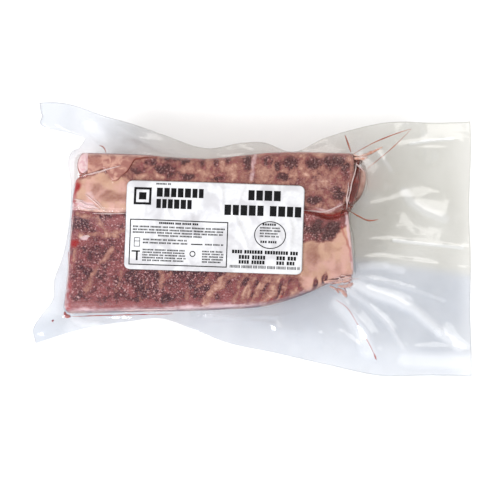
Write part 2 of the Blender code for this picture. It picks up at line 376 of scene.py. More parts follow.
def add_piece(name, body, material, slot, stands_for, **attributes):
    """A smooth mesh at the origin, from layout places, that rides on the root and replaces a solid."""
    points, faces = body
    mesh = bpy.data.meshes.new(name)
    mesh.vertices.add(len(points))
    mesh.vertices.foreach_set("co", (points + [*SHIFT, 0]).astype(np.float32).ravel())
    mesh.loops.add(faces.size)
    mesh.loops.foreach_set("vertex_index", faces.astype(np.int32).ravel())
    mesh.polygons.add(len(faces))
    mesh.polygons.foreach_set("loop_start", np.arange(0, faces.size, faces.shape[1], dtype=np.int32))
    mesh.update(calc_edges=True)
    mesh.validate()
    mesh.shade_smooth()
    for title, values in attributes.items():
        is_colour = values.ndim == 2
        layer = mesh.attributes.new(title, "FLOAT_COLOR" if is_colour else "FLOAT", "POINT")
        layer.data.foreach_set("color" if is_colour else "value", values.astype(np.float32).ravel())
    mesh.materials.append(material)
    piece = bpy.data.objects.new(name, mesh)
    bpy.context.scene.collection.objects.link(piece)
    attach(piece, "root")
    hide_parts(stands_for)
    print(f"{name}: {len(points)} points, {len(faces)} faces")


print("points of a pillow on a grid of 3 x 3:", len(pillow(*np.zeros((4, 3, 3)))[0]))

# %% [markdown]
# ## Heights
# The top faces are nearly flat, because the pack was pressed on a table, with long shallow swells. The
# upper rib stands a little higher, and a flap of fat at its left end lifts the film by a millimetre and a
# half. The same height functions serve the meat, the film and the label, so they can't cut through each
# other.

# %% Height of the top
SWELL_HEIGHT, SWELL_LENGTH, FLAP_THICKNESS = mm(0.8, 70, 1.5)
LEFT_FALL, LOWER_RIGHT_FALL, UPPER_RIGHT_FALL = mm(2.4, 3.0, 0.6)
FLAP_NEAR = mm(
    (-89.6, 35.2), (-83.2, 36.6), (-77.2, 38.0), (-75.3, 35.6), (-73.9, 32.6), (-71.6, 31.7), (-69.6, 32.6),
    (-67.6, 34.9), (-64.6, 37.2), (-62.6, 40.3), (-61.0, 43.2), (-57, 44.6), (-50, 46.0), (-45, 46.6),
)
FLAP_FAR = mm((-89.6, 49.0), (-74.8, 48.2), (-63.3, 47.8), (-45, 47.2))


def seam_line(x):
    """y of the meeting of the two ribs."""
    return curve_through(SEAM, x)


def rib_top(x, y):
    """Height of the ribs' tops: two levels with a soft step at the seam, swells, and a fall to each end."""
    step = fade(-12, 8, y - seam_line(x))
    swell = SWELL_HEIGHT * np.sin(2 * np.pi * x / SWELL_LENGTH) * np.sin(2 * np.pi * y / SWELL_LENGTH + 1)
    right_fall = LOWER_RIGHT_FALL + (UPPER_RIGHT_FALL - LOWER_RIGHT_FALL) * step
    fall = LEFT_FALL * fade(-50, -105, x) + right_fall * fade(10, 65, x)
    return LOWER_TOP + (UPPER_TOP - LOWER_TOP) * step + swell - fall


def flap_cover(x, y):
    """How far the flap lifts the film over it: its thickness, fading out just outside its near edge."""
    past = fade(-1.6, 0.4, y - curve_through(FLAP_NEAR, x))
    return FLAP_THICKNESS * past * fade(-92, -88, x) * fade(-46, -52, x)


print("heights of the two ribs, mm:", (1000 * rib_top(0.0, mm(-20, 35))).round(1))

# %% [markdown]
# ## Folds of the pouch
# Outside the block the two films lie on each other and sag to the table. What makes them read as film is
# their folds: broad soft ones that run out from the block's corners, where the flat sheet had to take up
# the height of the meat. Each is a ridge along a line, and its height falls off beside the line like a
# bell.

# %% Folds
# Half width, height and points of each, all in millimetres.
FOLDS = (
    (4.2, 2.6, (70, -26), (78.6, -31), (94, -36), (104, -41.5), (117, -52), (135, -66)),
    (1.6, 1.2, (68.6, -10.8), (85.6, -9.9), (117, -14.2), (141, -17)),
    (1.6, 1.0, (78, 0), (92.5, 0.3), (116.7, -2.4), (141, -4)),
    (5.0, 1.6, (98, 31), (104, 24), (112, 19), (130, 12)),
    (1.6, 0.9, (96, 57), (103.4, 59.3), (116.7, 62), (135, 63)),
    (1.2, 0.6, (96, 54), (102.6, 56), (112.5, 57.2), (130, 57)),
    (1.8, 0.9, (82, 54), (86, 49), (91, 43), (96, 40)),
    (4.0, 2.4, (60, -36), (68, -44), (77, -56), (82, -74)),
    (2.0, 1.3, (49, -56.5), (60, -55), (70, -62.6), (78.6, -71)),
    (1.8, 0.9, (-6, -46.5), (15, -49), (30, -54), (44.7, -56.5)),
    (1.3, 0.7, (-20, -45), (0, -45.5), (25, -45), (45, -39)),
    (2.4, 1.4, (93, -63), (105, -64.5), (120, -64), (138, -66)),
    (3.0, 1.6, (-97, 53), (-103, 60), (-112, 68), (-121, 74)),
    (3.0, 1.2, (-90, 55), (-80, 62), (-60, 62), (-38, 58)),
    (2.6, 1.6, (-103, -44), (-109, -50), (-117, -54), (-122, -56)),
    (1.6, 0.8, (-98, -45), (-92, -49), (-80, -49), (-66, -47)),
    (1.2, 0.6, (-60, -45), (-48, -46), (-38, -49), (-24, -53)),
    (1.6, 0.6, (10, 53), (0, 56), (-10, 53)),
    (2.2, 1.2, (64, -30), (76, -38), (88, -50), (98, -66)),
    (2.0, 0.9, (72, -22), (88, -25), (106, -30), (124, -36)),
    (2.4, 0.9, (70, 20), (84, 22), (100, 27), (122, 30)),
    (2.2, 0.9, (40, -44), (46, -56), (48, -68)),
    (2.0, 0.8, (20, -43), (22, -54), (20, -62)),
    (2.4, 1.0, (-30, 50), (-52, 56), (-74, 68)),
    (1.6, 0.8, (-104, -20), (-107, -30), (-109, -40)),
    (1.6, 0.7, (36, 53), (44, 57), (52, 60)),
)


def ridges(x, y, table):
    """Sum of ridges along lines: height * exp(-(distance / half width)^2), fading to the ends."""
    total = np.zeros(x.shape)
    for half_width, height, *points in table:
        distance, share = line_field(x, y, mm(*points))
        across = np.exp(-((distance * 1000 / half_width) ** 2))
        total += height / 1000 * across * np.sin(np.pi * np.clip(share * 0.9 + 0.08, 0, 1)) ** 0.7
    return total


def outward_distance(x, y):
    """How far a point is outside the foot of the block, and 0 inside it."""
    left, right, near, far = BLOCK.borders(x, y)
    past_ends, past_sides = np.maximum(left - x, x - right), np.maximum(near - y, y - far)
    return np.hypot(np.maximum(past_ends, 0), np.maximum(past_sides, 0))


TAIL_SAG, WING_LIFT = mm(9.0, 6.0)
WAVE_HEIGHT, WAVE_LENGTH, RIPPLE_LENGTH = mm(1.5, 52, 67.6)
LUMP_HEIGHT, LUMP_SIZE, LOOSE_REACH = mm(1.2, 14, 10)


def flange_middle(x, y):
    """Height between the two films: level by the block, then a sag and a lift, waves, folds and lumps."""
    sag = TAIL_SAG * fade(70, 145, x)
    lift = WING_LIFT * fade(50, 85, y) * fade(-80, -125, x)
    wave = WAVE_HEIGHT * np.sin(2 * np.pi * (x - 0.4 * y) / WAVE_LENGTH)
    ripple = WAVE_HEIGHT * np.sin(2 * np.pi * (y + 0.2 * x) / RIPPLE_LENGTH) * fade(70, 120, x)
    loose = ramp(0.0, LOOSE_REACH, outward_distance(x, y))
    lumps = LUMP_HEIGHT * (rough_noise(x, y, 0, LUMP_SIZE, 2.2) - 0.5)
    return PARTING - sag + lift + wave + ripple + loose * (ridges(x, y, FOLDS) + lumps)


BLOCK_EDGE = 0.007
BONE_END_REACH = mm((-22, 7), (14, 7), (30, 13), (42, 12), (52, 8))
BLOCK = Plan(
    side_of(BLOCK_LEFT), side_of(BLOCK_RIGHT), side_of(BLOCK_NEAR), side_of(BLOCK_FAR),
    reach=(BLOCK_EDGE, side_of(BONE_END_REACH), BLOCK_EDGE, BLOCK_EDGE), corner=0.7,
)
FILM_OPENING, FOOT_OPENING, FOOT_FADE = mm(0.35, 3.0, 4.0)
GROOVE_DEPTH, GROOVE_MORE, SEAM_HALF_WIDTH = mm(0.8, 2.6, 2.6)


def film_heights(x, y):
    """(upper, lower) heights of the film: over the block they part by its height, outside by a hair."""
    rise = edge_rise(BLOCK.share(x, y))
    middle = flange_middle(x, y)
    opening = FILM_OPENING + FOOT_OPENING * np.exp(-outward_distance(x, y) / FOOT_FADE)
    groove_depth = GROOVE_DEPTH + GROOVE_MORE * fade(20, 45, x)
    groove = groove_depth * np.clip(1 - ((y - seam_line(x)) / SEAM_HALF_WIDTH) ** 2, 0, 1) ** 1.5
    top = rib_top(x, y) + flap_cover(x, y) - groove
    upper = middle + opening + (top - middle - opening) * rise
    return upper, np.maximum((middle - opening) * (1 - rise), 0.0)


film_here = np.ravel(film_heights(mm(0), mm(-20)))
print(len(FOLDS), "folds; the film over the lower rib, mm:", (1000 * film_here).round(1))

# %% [markdown]
# ## Building materials
# A material is a Principled shader with nodes in front of it. Small helpers keep that short. The effect
# that the pieces share is one node group: noise cut by a soft threshold into patches. Every material
# places it with values of its own. Colours are read off a screen, where the studio's light makes a white
# sheet brighter than the screen can show, so they are divided by that light.

# %% Helpers for materials
STUDIO_LIGHT = 1.3


def colour(red, green, blue):
    """A colour read off a screen, 0 to 255, as the reflectance that shows so in the studio's light."""
    s = np.array([red, green, blue]) / 255
    linear = np.where(s <= 0.04045, s / 12.92, ((s + 0.055) / 1.055) ** 2.4)
    return (*(linear / STUDIO_LIGHT), 1.0)


def new_material(name, **values):
    """A material, its nodes and its Principled shader, with these values set on the shader's sockets."""
    material = bpy.data.materials.new(name)
    material.use_nodes = True
    shader = material.node_tree.nodes["Principled BSDF"]
    for socket, value in values.items():
        shader.inputs[socket.replace("_", " ")].default_value = value
    return material, material.node_tree, shader


def node(tree, kind, inputs=None, **settings):
    """Adds a node, sets it up, and fills its inputs with values or with other nodes' outputs."""
    made = tree.nodes.new("ShaderNode" + kind)
    for name, value in settings.items():
        setattr(made, name, value)
    for name, value in (inputs or {}).items():
        if isinstance(value, bpy.types.NodeSocket):
            tree.links.new(value, made.inputs[name])
        else:
            made.inputs[name].default_value = value
    return made


def calculate(tree, operation, *values):
    """The result of a sum or product of values and outputs."""
    return node(tree, "Math", dict(enumerate(values)), operation=operation).outputs[0]


def scale_add(tree, value, factor, added):
    """value * factor + added."""
    return calculate(tree, "MULTIPLY_ADD", value, factor, added)


def cut(tree, value, low, high):
    """A soft threshold: 0 below low and 1 above high."""
    inputs = {"Value": value, 1: low, 2: high}
    return node(tree, "MapRange", inputs, interpolation_type="SMOOTHSTEP").outputs[0]


def blend(tree, share, first, second):
    """A colour between two colours, by a mask."""
    return node(tree, "Mix", {0: share, 6: first, 7: second}, data_type="RGBA").outputs[2]


def place_of(tree):
    """The piece's own coordinates, in metres."""
    return node(tree, "TexCoord").outputs["Object"]


def value_of(tree, attribute):
    """A value that the mesh carries at each point."""
    return node(tree, "Attribute", attribute_name=attribute).outputs["Fac"]


def dress(tree, shader, tone, height=None, strength=0.3, distance=0.0003):
    """Gives a shader its colour and, from a height, its bump."""
    tree.links.new(tone, shader.inputs["Base Color"])
    if height is not None:
        bump = node(tree, "Bump", {"Height": height, "Strength": strength, "Distance": distance})
        tree.links.new(bump.outputs["Normal"], shader.inputs["Normal"])


print("the screen's white as a reflectance:", round(colour(255, 255, 255)[0], 2))

# %% The patches group
def make_patches_group():
    """Noise of a given scale, cut between two levels: a mask of soft-edged patches, and the noise itself."""
    group = bpy.data.node_groups.new("patches", "ShaderNodeTree")
    group.interface.new_socket("Position", in_out="INPUT", socket_type="NodeSocketVector")
    for name, value in (("Scale", 300.0), ("Detail", 3.0), ("Warp", 0.0), ("Low", 0.5), ("High", 0.6)):
        group.interface.new_socket(name, in_out="INPUT", socket_type="NodeSocketFloat").default_value = value
    for name in ("Mask", "Noise"):
        group.interface.new_socket(name, in_out="OUTPUT", socket_type="NodeSocketFloat")
    taken = group.nodes.new("NodeGroupInput").outputs
    noise = node(group, "TexNoise", {
        "Vector": taken["Position"], "Scale": taken["Scale"], "Detail": taken["Detail"],
        "Distortion": taken["Warp"],
    }).outputs["Fac"]
    given = group.nodes.new("NodeGroupOutput").inputs
    group.links.new(cut(group, noise, taken["Low"], taken["High"]), given["Mask"])
    group.links.new(noise, given["Noise"])
    return group


PATCHES = make_patches_group()


def patches(tree, position, scale, low=0.0, high=1.0, detail=3.0, warp=0.0):
    """Places the patches group in a material with its own values."""
    return node(tree, "Group", {
        "Position": position, "Scale": scale, "Detail": detail, "Warp": warp, "Low": low, "High": high,
    }, node_tree=PATCHES).outputs


print("sockets of the patches group:", [socket.name for socket in PATCHES.interface.items_tree])

# %% [markdown]
# ## The meat's material
# Raw beef through film is a dull purple brown. Three sizes of noise make its structure: clouds of 8 mm
# shade the lean, bundles of 4 mm break the marks of fat into islands, and fray of 2 mm feathers their
# edges. The noise is added to the mark before it is cut, so that fat looks grown and not drawn. On top
# lie fine pale flecks, a pale pink that is partly smears and partly painted highlight of the film, and
# blood.

# %% Beef
LEAN_LIGHT, LEAN_DARK, FLECK = colour(136, 70, 70), colour(64, 22, 27), colour(200, 154, 152)
MARBLE_LIGHT, MARBLE_DARK = colour(184, 138, 119), colour(142, 88, 79)
FAT_TAN, FAT_PINK, FAT_BROWN = colour(206, 163, 138), colour(212, 164, 151), colour(150, 98, 82)
# The pale pink is for smears, and for painted highlights of the film on the meat.
PALE_SMEAR_AND_SHEEN, BLOOD = colour(226, 192, 195), colour(152, 18, 10)
PAINTED = ("fat", "dark", "red", "pale", "fleck")
# Cells of each noise in a metre.
CLOUDS, BUNDLES, FRAY, GRAIN, FLECKS, TINTS = 130.0, 250.0, 480.0, 1300.0, 1000.0, 110.0


def make_beef():
    """Lean, flecks, fat, pale pink of smears and painted highlights, and blood, laid over each other in that
    order by masks.
    """
    material, tree, shader = new_material("beef", Roughness=0.42, IOR=1.4)
    place = place_of(tree)
    fat, dark, red, pale, fleck = (value_of(tree, name) for name in PAINTED)
    cloud = patches(tree, place, CLOUDS, detail=5.0, warp=0.5)["Noise"]
    bundle = patches(tree, place, BUNDLES, detail=4.0, warp=0.7)["Noise"]
    fray = patches(tree, place, FRAY, detail=5.0)["Noise"]
    grain = patches(tree, place, GRAIN, detail=2.0)["Noise"]

    shade = scale_add(tree, cloud, 1.6, scale_add(tree, dark, 0.40, -0.30))
    shade = scale_add(tree, fray, 0.9, calculate(tree, "ADD", shade, -0.45))
    lean = blend(tree, cut(tree, shade, 0.25, 0.85), LEAN_LIGHT, LEAN_DARK)
    fine = patches(tree, place, FLECKS, 0.54, 0.70, detail=2.0, warp=0.3)["Mask"]
    lean = blend(tree, calculate(tree, "MULTIPLY", fine, fleck), lean, FLECK)

    island = scale_add(tree, bundle, 1.3, calculate(tree, "ADD", fat, -1.35))
    island = scale_add(tree, fray, 1.0, scale_add(tree, grain, 0.4, island))
    marble = blend(tree, cut(tree, island, 0.40, 1.05), MARBLE_DARK, MARBLE_LIGHT)
    lean = blend(tree, cut(tree, island, 0.22, 0.62), lean, marble)
    fatty = blend(tree, patches(tree, place, TINTS, 0.38, 0.62)["Mask"], FAT_TAN, FAT_PINK)
    mottle = scale_add(tree, cut(tree, grain, 0.3, 0.8), 0.18, calculate(tree, "MULTIPLY", dark, 0.7))
    mottle = scale_add(tree, cut(tree, cloud, 0.40, 0.70), 0.42, mottle)
    fatty = blend(tree, cut(tree, mottle, 0.0, 1.0), fatty, FAT_BROWN)
    meat = blend(tree, cut(tree, island, 0.80, 1.10), lean, fatty)

    smear = scale_add(tree, fray, 1.4, calculate(tree, "ADD", pale, -0.7))
    meat = blend(tree, calculate(tree, "MULTIPLY", cut(tree, smear, 0.05, 0.85), pale), meat, PALE_SMEAR_AND_SHEEN)
    dress(tree, shader, blend(tree, red, meat, BLOOD), grain)
    return material


BEEF = make_beef()
print("nodes in the beef:", len(BEEF.node_tree.nodes))

# %% [markdown]
# ## Painting the meat
# Five values are worked out at each point of the meat: how much fat, how dark the lean is, how much
# blood, how much pale pink, which is partly smear and partly painted highlight, and how dense the fine
# flecks are. On the top face they come from listed marks. On the sides lumps of noise take over, so that
# they look cut from the same muscle.

# %% Marks on the lower rib
# Half width in millimetres, strength and points.
LOWER_SEAMS = (
    (2.0, 0.56, (-73.0, -7.0), (-77.3, -11.6), (-81.5, -16.2), (-84.5, -23.6), (-85.6, -27.6),
     (-87.9, -30.5)),
    (1.5, 0.40, (-67.4, -18), (-68.4, -22), (-69.1, -26.5), (-70.7, -30.5)),
    (1.9, 0.50, (-45.7, -18), (-45.1, -23.6), (-45.1, -28.6)),
    (1.4, 0.45, (-38.9, -18), (-42.3, -23.6), (-45, -27)),
    (2.7, 0.80, (2, -18), (-5.1, -21.3), (-10.3, -25.3), (-14.8, -29.3), (-17.1, -33.9), (-20.5, -39.4)),
    (1.3, 0.50, (-14, -25.8), (-18, -25.6), (-23.7, -27.6)),
    (1.2, 0.45, (-15, -18), (-18.8, -24.2), (-24, -28)), (1.0, 0.50, (-14.8, -34.6), (-16, -40.7)),
    (1.8, 0.62, (5, -17), (0, -27.6), (-2.9, -36.2), (-4, -40)),
    (1.8, 0.62, (-91.8, 0.5), (-84.9, 1.6), (-77.4, 1.0), (-67.7, 2.8), (-62, 3)),
    (1.7, 0.56, (-93, 13), (-90.2, 12.6), (-83.3, 11.4), (-79.8, 6.8), (-77.5, 3.3), (-70.2, -0.4)),
    (1.4, 0.60, (-95, -6), (-95.5, -12), (-96.5, -17)), (1.2, 0.35, (-58, -31), (-56, -36)),
    (1.3, 0.38, (-30, -28), (-31, -37)), (1.2, 0.34, (-60, -18), (-55, -24), (-54, -30)),
)
# x, y, two radii and the turn of each oval.
LEAN_BUNDLES = (
    (-10.2, -34.3, 5.4, 4.0, 50), (-18.6, -29.8, 3.2, 2.8, 0), (-2.4, -31.5, 4.6, 1.9, 66),
    (3.2, -26, 6.0, 2.0, 66), (10.2, -25, 6.2, 1.8, 64), (7.4, -33, 3.4, 1.4, 60),
    (15, -29, 3.6, 1.3, 64), (23.2, -26.8, 5.4, 1.5, 70), (29, -25, 5.2, 1.5, 72),
    (34, -29, 2.6, 1.1, 74),
)
BLOOD_DOTS = ((12.6, -36.1, 1.1, 0.8), (16, -35.6, 1.0, 1.0), (18.3, -35, 0.8, 1.1), (23.5, -33.8, 1.3, 0.7))
CAP_TOP = mm((30, -5), (39.5, -1.6), (45.8, -2.6), (52.6, -1.4), (59, 4.6), (64, 9))
CAP_LOOPS = mm((42.7, -26.6), (48.4, -23.2))
LOOP_RADIUS, LOOP_WIDTH, LOOP_END = mm(1.3, 0.7, 2.1)
BLOTCH_SIZE = 0.005
CREVICE_START = (25, 35)
# Strength first, then the oval.
LOWER_DARK = (
    (0.9, -91.5, 8.2, 8, 6), (0.9, 50, 5, 12, 7), (0.3, -78, -14, 9, 14), (0.5, -40, -24, 34, 16),
    (0.55, 42, -9, 6, 11), (0.3, 46, -20, 9, 6),
)
# These two ovals are painted highlights of the film: a glint on a pale line at the left end, and a band by
# the near edge.
LOWER_PALE_AND_SHEEN = ((0.9, -89.5, 0.0, 4.2, 2.4, 10), (0.6, -15, -39.5, 16, 2.6))
LOWER_RED = ((1.0, -95.8, -3.4, 4.6, 3.2, 20),)
PALE_EDGE = mm((60.5, 16), (62, 6.9), (63.8, -3), (65.4, -20))
RED_EDGE = mm((58.6, 5), (61, -0.9), (63.4, -8.3), (64.4, -14.6))
SEAM_STRENGTH = 1.15
STREAK_TURN, STREAK_WIDTH, STREAK_STRETCH = np.radians(64), 0.0021, 5


def spots(x, y, table):
    """The strongest of several ovals, each (x, y, radius, radius) in millimetres, and a turn in degrees."""
    return np.max([spot_mark(x, y, mm(a, b), mm(c, d), *turn) for a, b, c, d, *turn in table], axis=0)


def weighted_spots(x, y, table):
    """A list of such marks, each times the strength that comes first in its row."""
    return [strength * spots(x, y, [spot]) for strength, *spot in table]


def streaks(x, y):
    """Noise drawn out along the muscle's bundles: its cells are longer that way than they are wide."""
    along = x * np.cos(STREAK_TURN) + y * np.sin(STREAK_TURN)
    across = y * np.cos(STREAK_TURN) - x * np.sin(STREAK_TURN)
    return rough_noise(across, along / STREAK_STRETCH, 0, STREAK_WIDTH, 6.4)


def cap_loops(x, y):
    """Two loops of lean in the cap of fat: 0.6 inside, 1 on a ring about each centre and 0 beyond it."""
    loops = np.zeros(x.shape)
    for a, b in CAP_LOOPS:
        away = np.hypot(x - a - 0.2 * (y - b), (y - b) / 1.9)
        ring = 0.6 + 0.4 * np.exp(-(((away - LOOP_RADIUS) / LOOP_WIDTH) ** 2))
        loops = np.maximum(loops, ring - ramp(LOOP_RADIUS, LOOP_END, away))
    return loops


def paint_lower(x, y):
    """(fat, dark, red, pale, fleck) of the lower rib's top face."""
    from_rim, from_seam = y - curve_through(BLOCK_NEAR, x), seam_line(x) - y
    cap = fade(30, 37, x + 0.25 * (y + 0.020))
    cap = cap * fade(1.5, -2.5, y - curve_through(CAP_TOP, x))
    streaky = fade(-8, 6, x) * (1 - cap) * fade(-6, -14, y)
    # Painted highlight: by the near edge the lean is less dark and paler, for the film's sheen on the
    # rounded edge.
    near_edge_sheen = fade(8, 4, from_rim) * fade(20, 0, x)
    bundles, loops = spots(x, y, LEAN_BUNDLES), cap_loops(x, y)
    width = (0.7 + 1.6 * rough_noise(x, y, 0, BLOTCH_SIZE, 8.8)) / 1000
    seams = np.max([
        SEAM_STRENGTH * share * line_mark(x, y, mm(*points), half * width, 0.1)
        for half, share, *points in LOWER_SEAMS
    ], axis=0)
    fat = np.maximum(seams, (0.56 + 1.7 * (streaks(x, y) - 0.5)) * streaky)
    fat = np.maximum(np.minimum(fat, 0.74) - 0.4 * bundles, 1.3 * cap) - 1.1 * loops
    dark = sum(weighted_spots(x, y, LOWER_DARK)) + 0.4 * bundles + 0.7 * loops - 0.7 * near_edge_sheen
    red = sum(weighted_spots(x, y, LOWER_RED)) + 0.8 * spots(x, y, BLOOD_DOTS)
    red = red + 0.6 * line_mark(x, y, RED_EDGE, 0.0011)
    red = red + 0.55 * fade(3.4, 0.8, from_seam) * fade(*CREVICE_START, x)
    clotted = ramp(0.36, 0.58, rough_noise(x, y, 0, BLOTCH_SIZE, 4.1))
    red = red + 0.75 * fade(-95.5, -98.5, x) * clotted
    # Pale pink: the fat edge at the right is real; the ovals and the near rim are painted highlight, and the
    # left end is pale tissue with painted highlight on it.
    pale = np.max([
        *weighted_spots(x, y, LOWER_PALE_AND_SHEEN),
        0.9 * line_mark(x, y, PALE_EDGE, 0.0018, 0.3),
        0.7 * fade(-94.5, -100.5, x),
        0.75 * fade(4.5, 1.2, from_rim) + 0.22 * near_edge_sheen,
    ], axis=0)
    fleck = 0.85 - 0.6 * fade(9.5, 6, from_rim) - 0.4 * streaky
    return fat, dark, red, pale, fleck - 0.6 * spots(x, y, [(50, 6, 14, 9)])


print("on the lower rib:", len(LOWER_SEAMS), "seams of fat,", len(LEAN_BUNDLES), "bundles of lean")

# %% Marks on the upper rib
DARK_SPOTS = (
    (-41.7, 38.4, 9, 6), (-50.6, 43.3, 5, 3.4), (-39.3, 44.2, 6, 3), (-31.5, 42.5, 3.5, 3.4),
    (16.1, 44.2, 6, 4), (21.7, 40.8, 3.6, 5), (29.3, 43, 8, 6), (41.4, 41.3, 7, 6), (54.1, 43.6, 10, 5.5),
    (42.4, 20.5, 7, 3.4), (55.5, 24.4, 6, 6), (-22, 44, 2.8, 5), (-14, 43.5, 2.6, 5), (-7, 45, 2.6, 5),
    (4.2, 42, 3, 7), (-30, 34, 6, 3.4), (-12, 33, 5, 2.4), (24, 34, 5, 3.4), (-58, 38, 6, 5),
    (61, 38, 4, 7),
)
TAN_SPOTS = (
    (-29.6, 39.2, 5, 4), (-20.7, 36.1, 6, 4), (-4.6, 36.8, 5, 6), (13.6, 36.6, 6, 7), (36, 44.2, 3, 7),
    (46.6, 47, 4, 3.4), (39.4, 36.1, 5, 4), (-18, 41.3, 2, 5), (-10.3, 40.5, 2, 5), (-57, 34, 4, 3),
    (25.5, 38, 2.4, 5), (48, 31, 4, 3), (-46, 34, 4, 2),
)
# The first two ovals are painted highlights of the film by the silverskin; the third is a faint pale patch.
UPPER_PALE_AND_SHEEN = ((0.9, -89, 18, 10, 3.4, -12), (0.6, -86, 23, 4, 5, 40), (0.25, 48, 30, 14, 7))
UPPER_RED = ((0.95, -93.6, 28.6, 3.0, 4.2, -30),)
PALE_VEIN = mm((8.6, 47.5), (7.4, 40), (6.3, 33))
# The next line carries a painted highlight along the upper rib's near edge at the right.
SEAM_EDGE_HIGHLIGHT = mm((36, 15.8), (45, 14.6), (52, 14.4), (58.3, 18.5))


def paint_upper(x, y):
    """(fat, dark, red, pale, fleck) of the upper rib's top face."""
    spotted, lumps = spots(x, y, DARK_SPOTS), rough_noise(x, y, 0, BLOTCH_SIZE, 4.1)
    from_rim, from_seam = curve_through(BLOCK_FAR, x) - y, y - seam_line(x)
    left_rim = fade(-91.5, -95.5, x + 0.0025 * (lumps - 0.5))
    silverskin = spot_mark(x, y, mm(-78, 24.5), mm(25, 15), core=0.6) * fade(-55, -66, x)
    brown_band = spot_mark(x, y, mm(-72, 22.8), mm(15, 4.6), core=0.2) * silverskin
    fat = 0.51 - 0.44 * spotted + 0.32 * spots(x, y, TAN_SPOTS)
    fat = np.maximum(fat, 1.4 * silverskin - 0.30 * brown_band)
    clouds = ramp(0.4, 0.7, rough_noise(x, y, 0, 0.007, 2.7))
    dark = 0.75 * spotted + brown_band + 0.35 * silverskin * clouds
    red = sum(weighted_spots(x, y, UPPER_RED))
    red = red + 0.7 * fade(3.2, 1.6, from_rim) * ramp(0.3, 0.6, lumps)
    red = red + 0.95 * left_rim * ramp(0.34, 0.56, lumps) * fade(12, 20, y)
    red = red + 0.7 * fade(1.6, 0.4, from_seam) * fade(*CREVICE_START, x)
    # Pale pink: painted highlights from the ovals and the near-edge line; the left rim is pale tissue with
    # painted highlight on it; the vein is real.
    pale = np.max([
        *weighted_spots(x, y, UPPER_PALE_AND_SHEEN),
        0.6 * line_mark(x, y, PALE_VEIN, 0.0022, 0.2),
        0.6 * line_mark(x, y, SEAM_EDGE_HIGHLIGHT, 0.0022),
        0.75 * left_rim,
    ], axis=0)
    return fat, dark, red, pale, np.full(x.shape, 0.55)


print("on the upper rib:", len(DARK_SPOTS), "dark spots,", len(TAN_SPOTS), "tan ones")

# %% [markdown]
# ## The two ribs
# Each rib is a pillow on a plan of its own, just inside the film. They meet at the seam: close at the
# left, and with a dark crevice at the right, where the rib's edge is rounder. The walls carry the same
# painting as the top, faded into noise, and the underside shows the pale membrane that lies over the
# bones.

# %% Build a rib
FILM_GAP, MEAT_LUMPS, PAINT_WARP = mm(0.3, 0.7, 3.0)
MEAT_LUMP_SIZE, WALL_BLOTCH_SIZE, WALL_SQUEEZE = 0.012, 0.011, 0.6
RIB_COLUMNS, RIB_EDGE, RIB_POWER = 250, 14, 3.6


def inside_film(x, y, upper, lower):
    """Keeps two sheets a hair inside the film."""
    film_upper, film_lower = film_heights(x, y)
    upper = np.minimum(upper, film_upper - FILM_GAP)
    return upper, np.minimum(np.maximum(lower, film_lower + FILM_GAP), upper)


def build_rib(name, paint, plan, rows):
    """Makes a rib and paints it: marks on top, noise on the walls, membrane below."""
    x, y = plan_grid(plan, RIB_COLUMNS, rows, RIB_EDGE)
    rise = edge_rise(plan.share(x, y), RIB_POWER)
    top = rib_top(x, y) - FILM_GAP + MEAT_LUMPS * (rough_noise(x, y, 0, MEAT_LUMP_SIZE) - 0.5)
    upper, lower = inside_film(x, y, PARTING + (top - PARTING) * rise, PARTING * (1 - rise))
    warp_x, warp_y = (PAINT_WARP * (rough_noise(x, y, 0, BLOTCH_SIZE, shift) - 0.5) for shift in (3.1, 9.7))
    on_top = paint(x + warp_x, y + warp_y)
    none = 0.0 * x
    painted = []
    for z in (upper, lower):
        near_top = fade(30, 40, z)
        lumpy = rough_noise(x, y, z * WALL_SQUEEZE, WALL_BLOTCH_SIZE, 5.2)
        on_side = (ramp(0.46, 0.72, lumpy), ramp(0.5, 0.3, lumpy), none, none, none + 0.5)
        fields = [s + (t - s) * near_top for s, t in zip(on_side, on_top)]
        fields[0] = np.maximum(fields[0], 0.75 * fade(2.5, 0.6, z))
        painted.append(fields)
    attributes = {title: on_pillow(top, bottom) for title, top, bottom in zip(PAINTED, *painted)}
    add_piece(name, pillow(x, y, upper, lower), BEEF, "raw_beef", "sealed_bag", **attributes)


MEAT_INSET = 0.0007
LOWER_ROWS, UPPER_ROWS = 90, 58
SEAM_GAP = mm((-100, -0.5), (10, -0.5), (35, -0.9), (66, -0.9))
LOWER_RIGHT = mm((-26, 66.6), (-19, 66.2), (-9, 65.6), (6, 64.2), (16.5, 63.2))
UPPER_RIGHT = mm((12, 58.5), (19.6, 61.3), (25, 63.2), (36, 66.4), (44, 66.6), (52, 65.6))
UPPER_LEFT = mm((12, -98.2), (28, -96.6), (34, -94.5), (38, -89.5), (44, -87.0), (52, -86.5))
SEAM_REACH = mm((-100, 1.0), (10, 1.6), (35, 3.2), (66, 3.6))

LOWER_PLAN = Plan(
    side_of(BLOCK_LEFT, MEAT_INSET), side_of(LOWER_RIGHT), side_of(BLOCK_NEAR, MEAT_INSET),
    lambda x: seam_line(x) - curve_through(SEAM_GAP, x),
    reach=(0.004, 0.003, 0.008, side_of(SEAM_REACH)), corner=0.8,
)
UPPER_PLAN = Plan(
    side_of(UPPER_LEFT), side_of(UPPER_RIGHT), lambda x: seam_line(x) + curve_through(SEAM_GAP, x),
    side_of(BLOCK_FAR, -MEAT_INSET), reach=(0.004, 0.003, side_of(SEAM_REACH), 0.005), corner=0.8,
)
build_rib("lower_rib_meat", paint_lower, LOWER_PLAN, LOWER_ROWS)
build_rib("upper_rib_meat", paint_upper, UPPER_PLAN, UPPER_ROWS)

